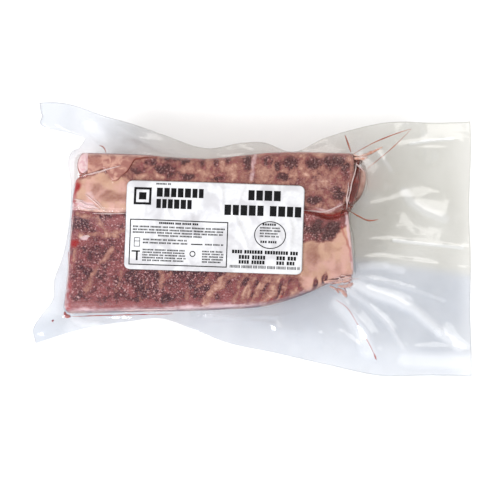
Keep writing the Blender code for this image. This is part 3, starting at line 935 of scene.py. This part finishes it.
# %% [markdown]
# ## Bones, fat flap and trimmings
# The upper rib's bone shows at its left end, sawn off, and at its right end a lump of bone and gristle
# stands out under the meat, with dark juice in the gap beside it. Each rib has a bone along its
# underside, whose sawn oval shows at both ends. A flap of fat is folded over the upper left corner. All
# of them are ovals or strips, so each is a pillow on a disc or on a small plan.

# %% Bone and fat materials
def make_patchy(name, roughness, scale, *tones):
    """Two mottled tones, and a third where the mesh marks a rim, frayed by the same noise."""
    first, second, edge = (colour(*tone) for tone in tones)
    material, tree, shader = new_material(name, Roughness=roughness)
    mottle = patches(tree, place_of(tree), scale, 0.36, 0.64, detail=4.0, warp=0.6)
    rim = calculate(tree, "ADD", value_of(tree, "rim"), scale_add(tree, mottle["Noise"], 1.2, -0.6))
    tone = blend(tree, cut(tree, rim, 0.25, 0.75), blend(tree, mottle["Mask"], first, second), edge)
    dress(tree, shader, tone, mottle["Noise"], distance=0.0004)
    return material


BONE = make_patchy("bone", 0.4, 300.0, (216, 170, 176), (234, 208, 206), (150, 72, 60))
FAT = make_patchy("fat", 0.38, 300.0, (158, 100, 90), (208, 158, 140), (132, 56, 42))
GRISTLE = make_patchy("gristle", 0.4, 260.0, (172, 124, 112), (204, 162, 148), (120, 44, 34))
DARK_JUICE = make_patchy("dark_juice", 0.2, 260.0, (92, 18, 16), (126, 40, 34), (120, 40, 30))


OVAL_LINES = 22
# Name, material, slot, centre, radii, turn in degrees, lowest and highest place, tilt, edge's power, bark.
OVALS = (
    ("rib_bone_far_left", BONE, "bone", (-90, 43.2), (5.0, 7.6), -8, (16, 40), (0.35, -0.1), 5.0, 1.0),
    ("rib_bone_far_right", GRISTLE, "bone", (69.4, 32), (4.6, 10.8), -14, (4, 36.5), (0.15, 0), 3.0, 1.0),
    ("rib_bone_near_left", BONE, "bone", (-97.3, -16), (3.1, 12), 3, (4.5, 18.5), (0, 0), 2.0, 0.3),
    ("rib_bone_near_right", BONE, "bone", (62.6, -2), (3.0, 11), 0, (4.5, 18.5), (0, 0), 2.0, 0.3),
    ("juice_by_seam", DARK_JUICE, "meat_juice", (60.4, 17), (4.2, 3.4), 20, (12, 41.2), (0, 0), 3.0, 1.0),
    ("juice_by_corner", DARK_JUICE, "meat_juice", (67.6, 45.6), (3.4, 3.6), 0, (12, 40.5), (0, 0), 3.0, 1.0),
    ("juice_pool", DARK_JUICE, "meat_juice", (65.9, 28.4), (3.7, 14.6), -14, (10, 40.5), (0, 0), 3.0, 1.0),
)


def build_oval(name, material, slot, centre, radii, turn, span, tilt, power, bark):
    """An oval lump between two heights. Its top is tilted, and a rim as strong as its bark runs round it."""
    (centre_x, centre_y), (radius_x, radius_y), (low, high) = mm(*centre), mm(*radii), mm(*span)
    t = np.sin(np.linspace(-1, 1, 2 * OVAL_LINES + 1) * np.pi / 2)
    u, v = np.meshgrid(t, t)
    u, v = u * np.sqrt(1 - v * v / 2), v * np.sqrt(1 - u * u / 2)
    share = np.clip(1 - np.hypot(u, v), 0, 1)
    rise = edge_rise(share, power)
    c, s = np.cos(np.radians(turn)), np.sin(np.radians(turn))
    away_x, away_y = radius_x * u * c - radius_y * v * s, radius_x * u * s + radius_y * v * c
    x, y = centre_x + away_x, centre_y + away_y
    middle = (low + high) / 2
    top = high + tilt[0] * away_x + tilt[1] * away_y
    upper, lower = inside_film(x, y, middle + (top - middle) * rise, middle + (low - middle) * rise)
    rim = bark * ramp(0.30, 0.10, share)
    add_piece(name, pillow(x, y, upper, lower), material, slot, "sealed_bag", rim=on_pillow(rim, rim))


for oval in OVALS:
    build_oval(*oval)

# %% The flap of fat
FLAP_LEFT, FLAP_RIGHT, FLAP_EDGE, FLAP_ROOT = mm(-87.2, -46.8, 1.6, 2.0)
FLAP_LINES = (110, 26, 4)


def build_flap():
    """The folded fat: a thin strip between two curves, with a lobe that hangs over the silverskin."""
    plan = Plan(
        lambda y: FLAP_LEFT + 0 * y, lambda y: FLAP_RIGHT + 0 * y, side_of(FLAP_NEAR), side_of(FLAP_FAR),
        reach=(0.0012, 0.0030, 0.0004, 0.0002), corner=0.8,
    )
    x, y = plan_grid(plan, *FLAP_LINES)
    from_near, from_far = y - plan.near(x), plan.far(x) - y
    swell = edge_rise(np.clip(np.minimum(from_near, from_far) / FLAP_EDGE, 0, 1), 2.0)
    top = rib_top(x, y) + FLAP_THICKNESS * swell - FILM_GAP
    upper, lower = inside_film(x, y, top, rib_top(x, y) - FLAP_ROOT)
    # The rim is dark red: along the near edge it is blood and painted shade of the flap's edge, stronger at
    # the right; it also darkens the far edge, a spot and the right end.
    rim = np.max([
        fade(1.4, 0.3, from_near) * (0.45 + 0.55 * fade(-70, -62, x)),
        0.8 * fade(1.8, 0, from_far),
        0.45 * spots(x, y, [(-83, 43, 7, 5)]) + 0.3 * fade(-60, -52, x),
    ], axis=0)
    add_piece("fat_flap", pillow(x, y, upper, lower), FAT, "beef_fat", "sealed_bag", rim=on_pillow(rim, rim))


build_flap()

# %% [markdown]
# ## The film
# Real film is two sheets under a tenth of a millimetre thick. They cling to the meat and lie on each
# other outside it. Here it is one pillow that follows the film's heights. Clear film shows by what it
# mirrors and by the grey of the room in it, which is twice as strong where two sheets lie together. So
# the shader is mostly transparent: the mesh paints its tint and its strength, weak on wet meat, stronger
# where it is loose. The tint is painted reflection, of a blue window and of a warm room at the far
# right, with painted pinkish shade on the film behind the block and painted white highlights on folds.

# %% Build the film
def film_columns(x, y):
    """x of the borders of the film's columns: rim, foot and top of the block, and the same beyond."""
    (left, right, _, _), reach = BLOCK.borders(x, y), BLOCK.reaches(x, y)
    return (curve_through(POUCH_LEFT, y), left, left + reach[0], right - reach[1], right,
            curve_through(POUCH_RIGHT, y))


def film_rows(x, y):
    """y of the borders of the film's rows: rim, foot and top of the block, the seam, and the same beyond."""
    (_, _, near, far), reach, seam = BLOCK.borders(x, y), BLOCK.reaches(x, y), seam_line(x)
    return (curve_through(POUCH_NEAR, x), near, near + reach[2], seam - SEAM_HALF_WIDTH, seam,
            seam + SEAM_HALF_WIDTH, far - reach[3], far, curve_through(POUCH_FAR, x))


# Painted white highlights along the film's folds, where they would catch the light.
# Half width in millimetres, strength and points.
PAINTED_FOLD_HIGHLIGHTS = (
    (5.5, 0.75, (70, -26.3), (78.6, -31.1), (94, -36.3), (104.3, -41.4), (117, -51.7), (132, -64)),
    (7.0, 0.6, (58, -38), (66, -46), (72, -56), (76, -66)),
    (5.0, 0.45, (100, 30), (104, 24), (113, 18), (124, 14)),
    (8.0, 0.7, (98, -71), (118, -72), (136, -72)),
    (4.0, 0.5, (72, -16), (84, -15), (97, -18)),
    (1.8, 0.6, (92.5, 0.3), (116.7, -2.4), (135, -4)),
    (1.6, 0.6, (103.4, 59.3), (116.7, 62), (130, 63)),
    (2.6, 0.35, (83, 53), (87, 48), (91, 43)),
    (5.0, 0.25, (70, 36), (74, 30), (75, 22)),
    (6.0, 0.6, (-92, 70), (-86, 66), (-80, 60), (-66, 58)),
    (4.0, 0.6, (-98, -47), (-92, -50), (-84, -50)),
    (2.4, 0.3, (-20, -45.5), (0, -46.5), (22, -46)),
    (2.6, 0.5, (64, -30), (76, -38), (88, -50), (98, -66)),
    (2.2, 0.4, (72, -22), (88, -25), (106, -30), (124, -36)),
    (2.6, 0.35, (-30, 50), (-52, 56), (-74, 68)),
)
# The film's tints are painted: reflections of a blue window and a warm room, pinkish shade, white
# highlights.
FILM_WARM_REFLECTION, FILM_COOL_REFLECTION, FILM_SHADE_PINK, FILM_HIGHLIGHT_WHITE = np.array([
    colour(164, 160, 138), colour(96, 118, 150), colour(196, 150, 130), (0.80, 0.82, 0.86, 1.0),
])
CLING_SHARE, CLING_VEIL, LOOSE_VEIL = 0.35, 0.03, 0.20
PINK_FADE, PINK_FROM_Y, GLARE_AND_HAZE_SIZE = mm(8, 30, 16)
FILM_COLUMNS = ((14, "even"), (9, "rising"), (165, "even"), (9, "falling"), (84, "even"))
FILM_ROWS = ((42, "even"), (9, "rising"), (44, "even"), (4, "even"), (4, "even"), (22, "even"),
             (9, "falling"), (24, "even"))


def film_paint(x, y, share):
    """(tint, veil) of the film: the colour of the room that it mirrors, painted as reflection, with painted
    shade and highlights, and how much it hides.
    """
    cling = ramp(0.0, CLING_SHARE, share)
    # Painted reflection: a warm room mirrored in the film at the far right, a blue window elsewhere.
    warm_reflection = fade(-16, -8, y + 0.12 * (x - 0.07)) * fade(-70, 0, x + 0.3 * y)
    # Painted shade: pinkish grey on the film just behind the block, where the meat's shadow falls.
    meat_shade = np.exp(-outward_distance(x, y) / PINK_FADE) * (y > PINK_FROM_Y)
    painted_highlight = np.max([
        strength * line_mark(x, y, mm(*points), width / 1000, 0.2) for width, strength, *points in PAINTED_FOLD_HIGHLIGHTS
    ], axis=0)
    # Patches of noise vary the veil at random and add painted white glare where they are high.
    glare_and_haze = rough_noise(x, y, 0, GLARE_AND_HAZE_SIZE, 1.3) - 0.5
    painted_highlight = np.clip(painted_highlight + 0.35 * ramp(0.12, 0.3, glare_and_haze), 0, 1) * (1 - cling)
    tint = FILM_COOL_REFLECTION
    for strength, second in ((warm_reflection, FILM_WARM_REFLECTION), (0.7 * meat_shade, FILM_SHADE_PINK), (painted_highlight, FILM_HIGHLIGHT_WHITE)):
        tint = tint + (second - tint) * strength[..., None]
    left = fade(-60, -100, x) * fade(60, 45, y)
    wing = fade(-94, -104, x) * fade(56, 66, y)
    wing = wing + 1.8 * fade(-100, -108, x) * fade(-40, -50, y)
    wing = wing + 0.5 * fade(-42, -46, y) * fade(50, 20, x)
    loose = LOOSE_VEIL + 0.02 * warm_reflection - 0.03 * left + 0.05 * wing + 0.10 * glare_and_haze + 0.22 * painted_highlight
    return tint, CLING_VEIL * cling + loose * (1 - cling)


def make_film():
    """Mostly transparent and mirror smooth, with the painted tint of reflections, shade and highlights, the
    veil, and stronger seen edge on.
    """
    material, tree, shader = new_material("clear_film", Roughness=0.10, IOR=2.4)
    facing = node(tree, "LayerWeight", {"Blend": 0.25}).outputs["Facing"]
    tree.links.new(scale_add(tree, facing, 0.20, value_of(tree, "veil")), shader.inputs["Alpha"])
    tint = node(tree, "Attribute", attribute_name="tint").outputs["Color"]
    ripples = patches(tree, place_of(tree), 150.0, detail=4.0, warp=0.8)["Noise"]
    dress(tree, shader, tint, ripples, 0.35, 0.0006)
    return material


def build_film():
    """The pouch: fine columns and rows on the block, coarser ones outside, and one rim for both sheets."""
    across, along = np.meshgrid(grid_lines(*FILM_COLUMNS), grid_lines(*FILM_ROWS))
    x, y = BLOCK.round_corners(*settle(across, along, film_columns, film_rows))
    upper, lower = film_heights(x, y)
    tint, veil = film_paint(x, y, BLOCK.share(x, y))
    add_piece("pouch_film", pillow(x, y, upper, lower), make_film(), "film", "sealed_bag",
              tint=on_pillow(tint, tint), veil=on_pillow(veil, veil))


build_film()

# %% [markdown]
# ## Juice, scraps and creases
# Red juice was drawn into the folds when the air was pulled out, and stands there in fine lines between
# the sheets. By two corners of the block lie scraps of wet fat. Where the film was too large for the meat
# it stands up in little creases; their pale pink is a painted highlight, for the light they catch. All of
# these are flat threads along a curve: the juice between the sheets, the scraps under the upper sheet,
# and the creases on it.

# %% Lines of juice, scraps and creases
# Half width in millimetres and points of each thread.
JUICE_LINES = (
    (0.35, (67.6, 52), (80.3, 59), (92, 64), (104, 68.4)),
    (0.25, (104.5, 68.4), (91.2, 55.4), (76.4, 43.2)), (0.4, (67.2, 53.8), (65.5, 59), (63.7, 64.3)),
    (0.4, (65.9, 17.5), (71, 14.5), (76.7, 12), (83.3, 12.6)),
    (0.22, (57, -35.5), (63, -39.7), (70.1, -50.5), (75.4, -59.4), (78.9, -66.5), (80.6, -71)),
    (0.4, (79.2, -67), (80.6, -71)), (0.5, (70, 49), (73, 50.5), (79.4, 54.3)),
    (0.35, (-102.7, -6.6), (-102.2, -18.3), (-103, -30), (-103.4, -42)),
    (0.3, (-85.2, 57.6), (-83, 57), (-81.6, 55), (-81, 52.8)),
    (0.9, (-104.2, -42.6), (-103.2, -45), (-100.6, -45.4)), (0.6, (-111.4, -47.5), (-110.6, -48.4)),
    (0.3, (-100, -45.5), (-85, -44.9), (-60, -44.3), (-40, -43.9)),
)
SCRAPS = (
    (1.4, (65, 50), (72, 50.8), (79, 53), (86, 56.6)), (1.7, (65.4, 47.6), (70.6, 48.2), (77, 50.6)),
    (1.5, (65.6, 45), (69.4, 45.6), (73.4, 47.8)), (0.9, (48, -25.8), (54, -25.4), (59, -24.8)),
    (1.5, (56, -25.4), (61, -24.2), (66.6, -23.6)), (1.3, (58, -27.4), (63, -27.4), (67.6, -25.8)),
    (1.1, (57.6, -28.6), (61.6, -31), (63.6, -34)), (0.9, (53, -27.4), (57, -29.2), (59, -31.6)),
)
CLOTS = (
    (0.35, (53, -26.4), (57, -25.8), (60, -25.4)), (0.35, (58.5, -27), (62, -28.5), (63.5, -31)),
    (0.3, (62, -24.6), (65, -25.2), (67, -27)), (0.8, (69.4, 47.2), (71.4, 47.6)),
    (0.3, (67.8, 46.6), (70, 49), (74, 50.6)), (0.7, (-88, 50.2), (-85, 49.6), (-82.4, 49.2)),
    (0.5, (-92.6, 35.4), (-89.6, 34.4), (-87, 35.4)), (0.5, (-96.6, 29.8), (-94.2, 32), (-92.4, 34)),
)
CREASES = (
    (0.40, (-91.6, 34.4), (-83.2, 36.3), (-75.7, 38.4), (-68.3, 40.4)),
    (0.35, (-85, 13.6), (-74.6, 13.2), (-64, 13.3)),
    (0.35, (-88.8, 24.4), (-85, 21.1), (-81.5, 18.2), (-78.2, 15.2)),
    (0.25, (-84, 22), (-80.4, 18.6), (-77, 15)),
    (0.60, (-95, 19.8), (-92, 20), (-88.4, 18.2), (-83.8, 17.2), (-80.3, 15.6)),
    (0.45, (-96, 17), (-91, 17.2), (-87, 15.8), (-83, 16)), (0.5, (-96, 22), (-93, 21), (-90, 20.6)),
    (0.50, (66.8, 42.6), (66, 37.1), (64.2, 31.3), (63, 25.5), (61.8, 20.9), (61.2, 16)),
    (0.40, (61.9, 31), (61.9, 26.6), (61, 22.6), (61.2, 18)),
    (0.45, (66.4, 42), (69.7, 39.4), (73.2, 36.2)),
    (0.40, (36, 15.6), (42.9, 14.9), (48.7, 14.4), (53.8, 16.2), (58.6, 18.2)),
    (0.35, (-99.6, -40), (-98.6, -20), (-97.6, 0), (-96, 12)), (0.5, (-92, -1.2), (-89, 0.6), (-86, 0.2)),
    (0.30, (56, -23), (61, -25.2), (66, -29)), (0.30, (58, -22), (64, -23.2), (71, -23)),
    (0.25, (-70, -42.3), (-50, -41.6), (-36, -41.6)),
)
THREAD_STEP, THREAD_DEPTH, CREASE_LIFT = mm(0.8, 0.8, 0.05)
THREAD_FLATNESS, WOBBLE_SIZE = 0.6, 0.003
THREAD_STEPS, THREAD_COLUMNS = 8, 7


def thread(path, half_width, base):
    """A flat thread along a line. Across it: z = base +- flatness * half width * sqrt(1 - t^2)."""
    spans = np.concatenate([[0], np.cumsum(np.linalg.norm(np.diff(path, axis=0), axis=1))])
    along = np.linspace(0, spans[-1], max(int(spans[-1] / THREAD_STEP), THREAD_STEPS) + 1)
    centre = np.stack([curve_through(np.stack([spans, path[:, k]], axis=1), along) for k in (0, 1)])
    across = np.gradient(centre, axis=1)[::-1] * [[-1], [1]]
    across = across / np.linalg.norm(across, axis=0)
    taper = np.sin(np.pi * np.linspace(0.04, 0.96, len(along))) ** 0.5
    wobble = 0.5 + soft_noise(centre[0], centre[1], 0, WOBBLE_SIZE, 4.0)
    t = np.sin(np.linspace(-1, 1, THREAD_COLUMNS) * np.pi / 2)[:, None]
    x, y = (centre[k] + t * across[k] * half_width * taper * wobble for k in (0, 1))
    swell = half_width * THREAD_FLATNESS * np.sqrt(1 - t * t) * taper
    swell[:, [0, -1]] = 0
    middle = base(x, y)
    return pillow(x, y, middle + swell, middle - swell)


def under_film(x, y):
    """Just below the upper sheet, and between the sheets where they lie together."""
    return np.maximum(flange_middle(x, y), film_heights(x, y)[0] - THREAD_DEPTH)


def on_film(x, y):
    """On the upper sheet."""
    return film_heights(x, y)[0] + CREASE_LIFT


def build_threads(name, table, base, material, slot):
    """One piece from all the threads of a table. They have no rim."""
    body = join([thread(mm(*path), width / 1000, base) for width, *path in table])
    add_piece(name, body, material, slot, "sealed_bag", rim=np.zeros(len(body[0])))


print("threads:", [len(table) for table in (JUICE_LINES, SCRAPS, CLOTS, CREASES)])

# %% Materials of the threads
JUICE = make_patchy("juice", 0.15, 260.0, (216, 110, 70), (186, 62, 36), (120, 30, 20))
WET_FAT = make_patchy("wet_fat", 0.3, 500.0, (216, 148, 124), (236, 196, 180), (170, 60, 40))
CLOT = make_patchy("clot", 0.2, 500.0, (176, 52, 34), (130, 26, 20), (120, 30, 20))
# A standing fold of film, shiny and half transparent: its pale pink is a painted highlight, for the light
# the fold catches.
CREASE_HIGHLIGHT_PINK = (0.66, 0.50, 0.48, 1.0)
CREASE = new_material("film_crease", Roughness=0.25, Base_Color=CREASE_HIGHLIGHT_PINK, Alpha=0.42)[0]
build_threads("juice_lines", JUICE_LINES, flange_middle, JUICE, "meat_juice")
build_threads("fat_scraps", SCRAPS, under_film, WET_FAT, "beef_fat")
build_threads("juice_clots", CLOTS, under_film, CLOT, "meat_juice")
build_threads("film_creases", CREASES, on_film, CREASE, "film")

# %% [markdown]
# ## The label
# The label is a coated paper sticker, 4 by 2 inches, turned two degrees. It bridges the seam between the
# ribs and takes up a few soft folds of the film under it. Its grid is a rectangle whose rows get shorter
# at the round corners.

# %% Paper
LABEL_SIZE = mm(101.6, 50.8)
LABEL_TURN = np.radians(-1.9)
LABEL_CORNER, LABEL_LIFT, PAPER_THICKNESS = mm(3.2, 0.55, 0.12)
LABEL_LINES = (161, 81)
PAPER_DULL, PAPER_BRIGHT = (0.57, 0.57, 0.59, 1.0), (0.62, 0.62, 0.63, 1.0)
# Grey of painted shade, laid on the paper in soft clouds.
PAPER_PAINTED_SHADE = (0.42, 0.41, 0.43, 1.0)
# Half width, height and points, in millimetres on the label.
LABEL_FOLDS = (
    (1.1, 0.9, (3.0, 25), (3.8, 18), (4.4, 9)),
    (1.4, 1.1, (8, 13), (11, 7), (14, 1), (18.2, -8.2), (20, -15)),
    (1.1, 0.8, (17, 25), (14.5, 20), (13, 14)),
    (1.1, 0.7, (-41, 15), (-40, 8), (-41.5, 2)),
    (1.3, 0.9, (-28, 15), (-27, 9), (-24.5, 4)),
    (1.2, 0.7, (24, -3), (27, -10), (26, -17)),
    (1.5, 0.8, (42, 8), (44, 0), (43, -13)),
    (1.6, 0.7, (-14, 9), (-13, 0), (-9, -9)),
    (2.8, -0.35, (-50, 8), (-30, 7), (-5, 6.5), (20, 4), (50, 5)),
)


def label_place(a, b):
    """Layout place and height of a point of the label: a along it, b up it, from its middle."""
    x = LABEL_CENTRE[0] + a * np.cos(LABEL_TURN) - b * np.sin(LABEL_TURN)
    y = LABEL_CENTRE[1] + a * np.sin(LABEL_TURN) + b * np.cos(LABEL_TURN)
    return x, y, rib_top(x, y) + LABEL_LIFT + ridges(a, b, LABEL_FOLDS)


def make_paper():
    """Coated paper: white, with a trace of fibre, and grey clouds of painted shade."""
    material, tree, shader = new_material("label_paper", Roughness=0.38)
    place = place_of(tree)
    fibre = patches(tree, place, 700.0, 0.3, 0.7, detail=5.0)
    # Clouds of painted shade over the paper.
    painted_shade = patches(tree, place, 85.0, 0.42, 0.66, detail=2.0, warp=0.8)["Mask"]
    tone = blend(tree, fibre["Mask"], PAPER_DULL, PAPER_BRIGHT)
    tone = blend(tree, calculate(tree, "MULTIPLY", painted_shade, 0.7), tone, PAPER_PAINTED_SHADE)
    dress(tree, shader, tone, fibre["Noise"], 0.08, 0.0002)
    return material


def build_label():
    """Two sheets of the label's grid, a paper's thickness apart."""
    b = np.linspace(-1, 1, LABEL_LINES[1]) * LABEL_SIZE[1] / 2
    past = np.clip(np.abs(b) - (LABEL_SIZE[1] / 2 - LABEL_CORNER), 0, LABEL_CORNER)
    half = LABEL_SIZE[0] / 2 - LABEL_CORNER + np.sqrt(LABEL_CORNER**2 - past**2)
    a = np.linspace(-1, 1, LABEL_LINES[0]) * half[:, None]
    x, y, z = label_place(a, np.broadcast_to(b[:, None], a.shape))
    add_piece("label_sheet", pillow(x, y, z, z - PAPER_THICKNESS), make_paper(), "label_paper", "label")


build_label()

# %% [markdown]
# ## The print
# A shop label has a mark, a headline, a box of small type, a stamp and a few lines of figures. Letters
# are plain upright blocks, which read as type from a step away. Every block is a thin slab that follows
# the paper, and a small pillow like everything else.

# %% Rows of type
PRINT_STEP, INK_TOP, INK_FOOT = mm(0.7, 0.06, 0.02)
PRINT_SEED, RING_STEPS = 5, 72
type_draw = np.random.default_rng(PRINT_SEED)


def word_row(words, left, middle, height, letter, gap, space):
    """Boxes (a0, b0, a1, b1) of a row of words, each given by its number of blocks. No two are as wide."""
    boxes, a = [], left
    for length in words:
        for _ in range(length):
            width = letter * type_draw.uniform(0.85, 1.15)
            boxes.append((a, middle - height / 2, a + width, middle + height / 2))
            a += width + gap
        a += space
    return boxes


def type_row(left, right, middle, height, letter, gap=0.25, space=0.6):
    """A row of words of three to nine blocks, drawn at random until the row is full."""
    words, room = [], (right - left) / (letter + gap)
    while room > 2:
        words.append(int(min(type_draw.integers(3, 10), room)))
        room -= words[-1] + space / (letter + gap)
    return word_row(words, left, middle, height, letter, gap, space)


def frame_boxes(left, low, right, high, line):
    """Four boxes that make a frame."""
    return [(left, low, right, low + line), (left, high - line, right, high),
            (left, low + line, left + line, high - line), (right - line, low + line, right, high - line)]


def slab(box):
    """A thin closed slab on the label over a box in millimetres, fine enough to follow the paper's folds."""
    a0, b0, a1, b1 = np.array(box) / 1000
    counts = [max(int(np.ceil(size / PRINT_STEP)), 2) + 1 for size in (a1 - a0, b1 - b0)]
    a, b = np.meshgrid(np.linspace(a0, a1, counts[0]), np.linspace(b0, b1, counts[1]))
    x, y, z = label_place(a, b)
    return pillow(x, y, z + INK_TOP, z - INK_FOOT)


def ring_slab(centre, radii, line, steps=RING_STEPS):
    """A flat oval ring on the label, with a square section."""
    turn = np.linspace(0, 2 * np.pi, steps, endpoint=False)[:, None]
    grow = np.array([0, 0, line, line])[None]
    lift = np.array([0, INK_TOP, INK_TOP, 0])
    x, y, z = label_place(
        (centre[0] + (radii[0] - line + grow) * np.cos(turn)) / 1000,
        (centre[1] + (radii[1] - line + grow) * np.sin(turn)) / 1000,
    )
    points = np.stack([x, y, z + lift], axis=-1).reshape(-1, 3)
    here = np.arange(4 * steps).reshape(steps, 4)
    ahead = np.roll(here, -1, axis=0)
    faces = np.stack([here, np.roll(here, -1, axis=1), np.roll(ahead, -1, axis=1), ahead], axis=-1)
    return points, faces.reshape(-1, 4)


print("points of a square millimetre of ink:", len(slab((0, 0, 1, 1))[0]))

# %% Lay out the print
def small_print():
    """Boxes of the small type, in millimetres on the label."""
    boxes = type_row(-34, -25, 23.8, 0.9, 0.65)
    for middle in (-0.9, -2.6, -4.2):
        boxes += type_row(-46.5, 6.5, middle, 0.9, 0.55)
    boxes += type_row(-32, -7, -5.8, 0.9, 0.55)
    for middle in (-8.2, -10.0):
        boxes += type_row(-40.5, -15, middle, 0.9, 0.55)
    boxes += type_row(-5, 6.3, -10.0, 0.9, 0.55)
    for middle in (-14.0, -15.5, -17.0, -18.5, -20.0):
        boxes += type_row(-40.5, -15, middle, 0.85, 0.55) + type_row(-6.5, 6.0, middle, 0.85, 0.55)
    for middle in (0.6, -1.0, -2.6, -4.2):
        boxes += type_row(26, 38, middle, 0.85, 0.55)
    return boxes + type_row(9.5, 50, -21.9, 1.6, 0.42, 0.35)


def bold_print():
    """Boxes of the headlines and the bold lines."""
    boxes = word_row((7,), -33.5, 18.9, 5.2, 3.0, 0.85, 0) + word_row((6,), -33.5, 12.4, 5.2, 2.8, 0.75, 0)
    boxes += word_row((4,), 18.8, 18.9, 5.8, 3.9, 1.0, 0) + word_row((5, 4), 5.4, 10.2, 5.8, 3.7, 1.0, 2.6)
    boxes += type_row(-31.6, -8.2, 1.4, 1.1, 0.85) + type_row(27.5, 36, 2.6, 1.2, 0.9, 0.4)
    boxes += type_row(26.5, 36.8, -7.4, 1.3, 0.9, 0.4) + type_row(10.5, 50, -13.4, 2.0, 1.2, 0.35, 1.0)
    for middle, height in ((-16.4, 2.2), (-19.2, 2.0)):
        boxes += word_row((4, 5), 14.5, middle, height, 1.2, 0.4, 1.2)
        boxes += word_row((3, 3), 36, middle, height, 1.2, 0.4, 1.2)
    return boxes


def line_work():
    """The frame, the plain mark beside the headline and the simple signs in the frame."""
    boxes = frame_boxes(-48.3, -22.8, 7.8, 3.3, 0.55)
    boxes += frame_boxes(-46.5, 11.5, -36.5, 21.5, 1.3) + [(-43.6, 14.4, -39.4, 18.6)]
    boxes += frame_boxes(-45.6, -12.4, -42.2, -7.2, 0.3) + [(-45.6, -9.4, -42.2, -9.1)]
    boxes += [(-13, -10.4, -6.5, -9.8), (-46.8, -15.4, -42, -14.6), (-44.2, -20.2, -43.2, -15.4)]
    return boxes


INK_BLACK, INK_WORN = colour(8, 8, 9), colour(26, 26, 28)


def make_ink():
    """Black heat print, a little worn."""
    material, tree, shader = new_material("label_ink", Roughness=0.7, Specular_IOR_Level=0.1)
    worn = patches(tree, place_of(tree), 1500.0, 0.35, 0.6)["Mask"]
    dress(tree, shader, blend(tree, worn, INK_BLACK, INK_WORN))
    return material


rings = [ring_slab((31.9, -3.4), (9.1, 7.9), 0.5), ring_slab((-12, -15.6), (1.7, 1.7), 0.5, 24)]
print_body = join([slab(box) for box in small_print() + bold_print() + line_work()] + rings)
add_piece("label_print", print_body, make_ink(), "label_ink", "label")

# %% [markdown]
# ## Floor, light and camera
# The pack was photographed from almost straight above on a white table, in soft light from a window on
# the near left. The camera is a little over half a metre away, five degrees off the vertical.

# %% Stage
FLOOR_HALF, FLOOR_HEIGHT, FLOOR_WHITE = 3.0, -0.0002, (0.9, 0.9, 0.9, 1.0)
WORLD_WHITE, WORLD_STRENGTH = (1.0, 1.0, 1.0, 1.0), 0.88
# Name, place, size, power and tint of each light.
LIGHTS = (
    ("window", (-0.60, -0.55, 0.60), 0.4, 10.5, (0.95, 0.97, 1.0)),
    ("bounce", (0.6, 0.7, 0.8), 0.8, 6.0, (1.0, 0.98, 0.95)),
)


def build_floor():
    """A white sheet under the pack."""
    mesh = bpy.data.meshes.new("floor")
    around = ((-1, -1), (1, -1), (1, 1), (-1, 1))
    corners = [(x * FLOOR_HALF, y * FLOOR_HALF, FLOOR_HEIGHT) for x, y in around]
    mesh.from_pydata(corners, [], [(0, 1, 2, 3)])
    material, _, _ = new_material("floor_white", Roughness=0.9, Base_Color=FLOOR_WHITE)
    mesh.materials.append(material)
    floor = bpy.data.objects.new("floor", mesh)
    bpy.context.scene.collection.objects.link(floor)


def add_light(name, place, size, power, tint):
    """A square soft box that faces the pack."""
    light = bpy.data.lights.new(name, "AREA")
    light.size, light.energy, light.color = size, power, tint
    lamp = bpy.data.objects.new(name, light)
    lamp.location = place
    lamp.rotation_euler = (-lamp.location).to_track_quat("-Z", "Y").to_euler()
    bpy.context.scene.collection.objects.link(lamp)


build_floor()
for row in LIGHTS:
    add_light(*row)
world = bpy.data.worlds.new("studio")
world.use_nodes = True
background = world.node_tree.nodes["Background"].inputs
background["Color"].default_value = WORLD_WHITE
background["Strength"].default_value = WORLD_STRENGTH
bpy.context.scene.world = world
bpy.context.scene.view_settings.view_transform = "Standard"
print("lights:", [name for name, *_ in LIGHTS])

# %% Camera
CAMERA_ELEVATION = np.radians(85)
CAMERA_DISTANCE, TARGET_HEIGHT = 0.55, 0.020
CAMERA_LENS_MM = 69.2
camera_data = bpy.data.cameras.new("camera")
camera_data.lens = CAMERA_LENS_MM
camera = bpy.data.objects.new("camera", camera_data)
camera.location = (
    SHIFT[0],
    SHIFT[1] - CAMERA_DISTANCE * np.cos(CAMERA_ELEVATION),
    TARGET_HEIGHT + CAMERA_DISTANCE * np.sin(CAMERA_ELEVATION),
)
camera.rotation_euler = (np.pi / 2 - CAMERA_ELEVATION, 0, 0)
bpy.context.scene.collection.objects.link(camera)
bpy.context.scene.camera = camera
print("the camera stands at, metres:", [round(value, 3) for value in camera.location])
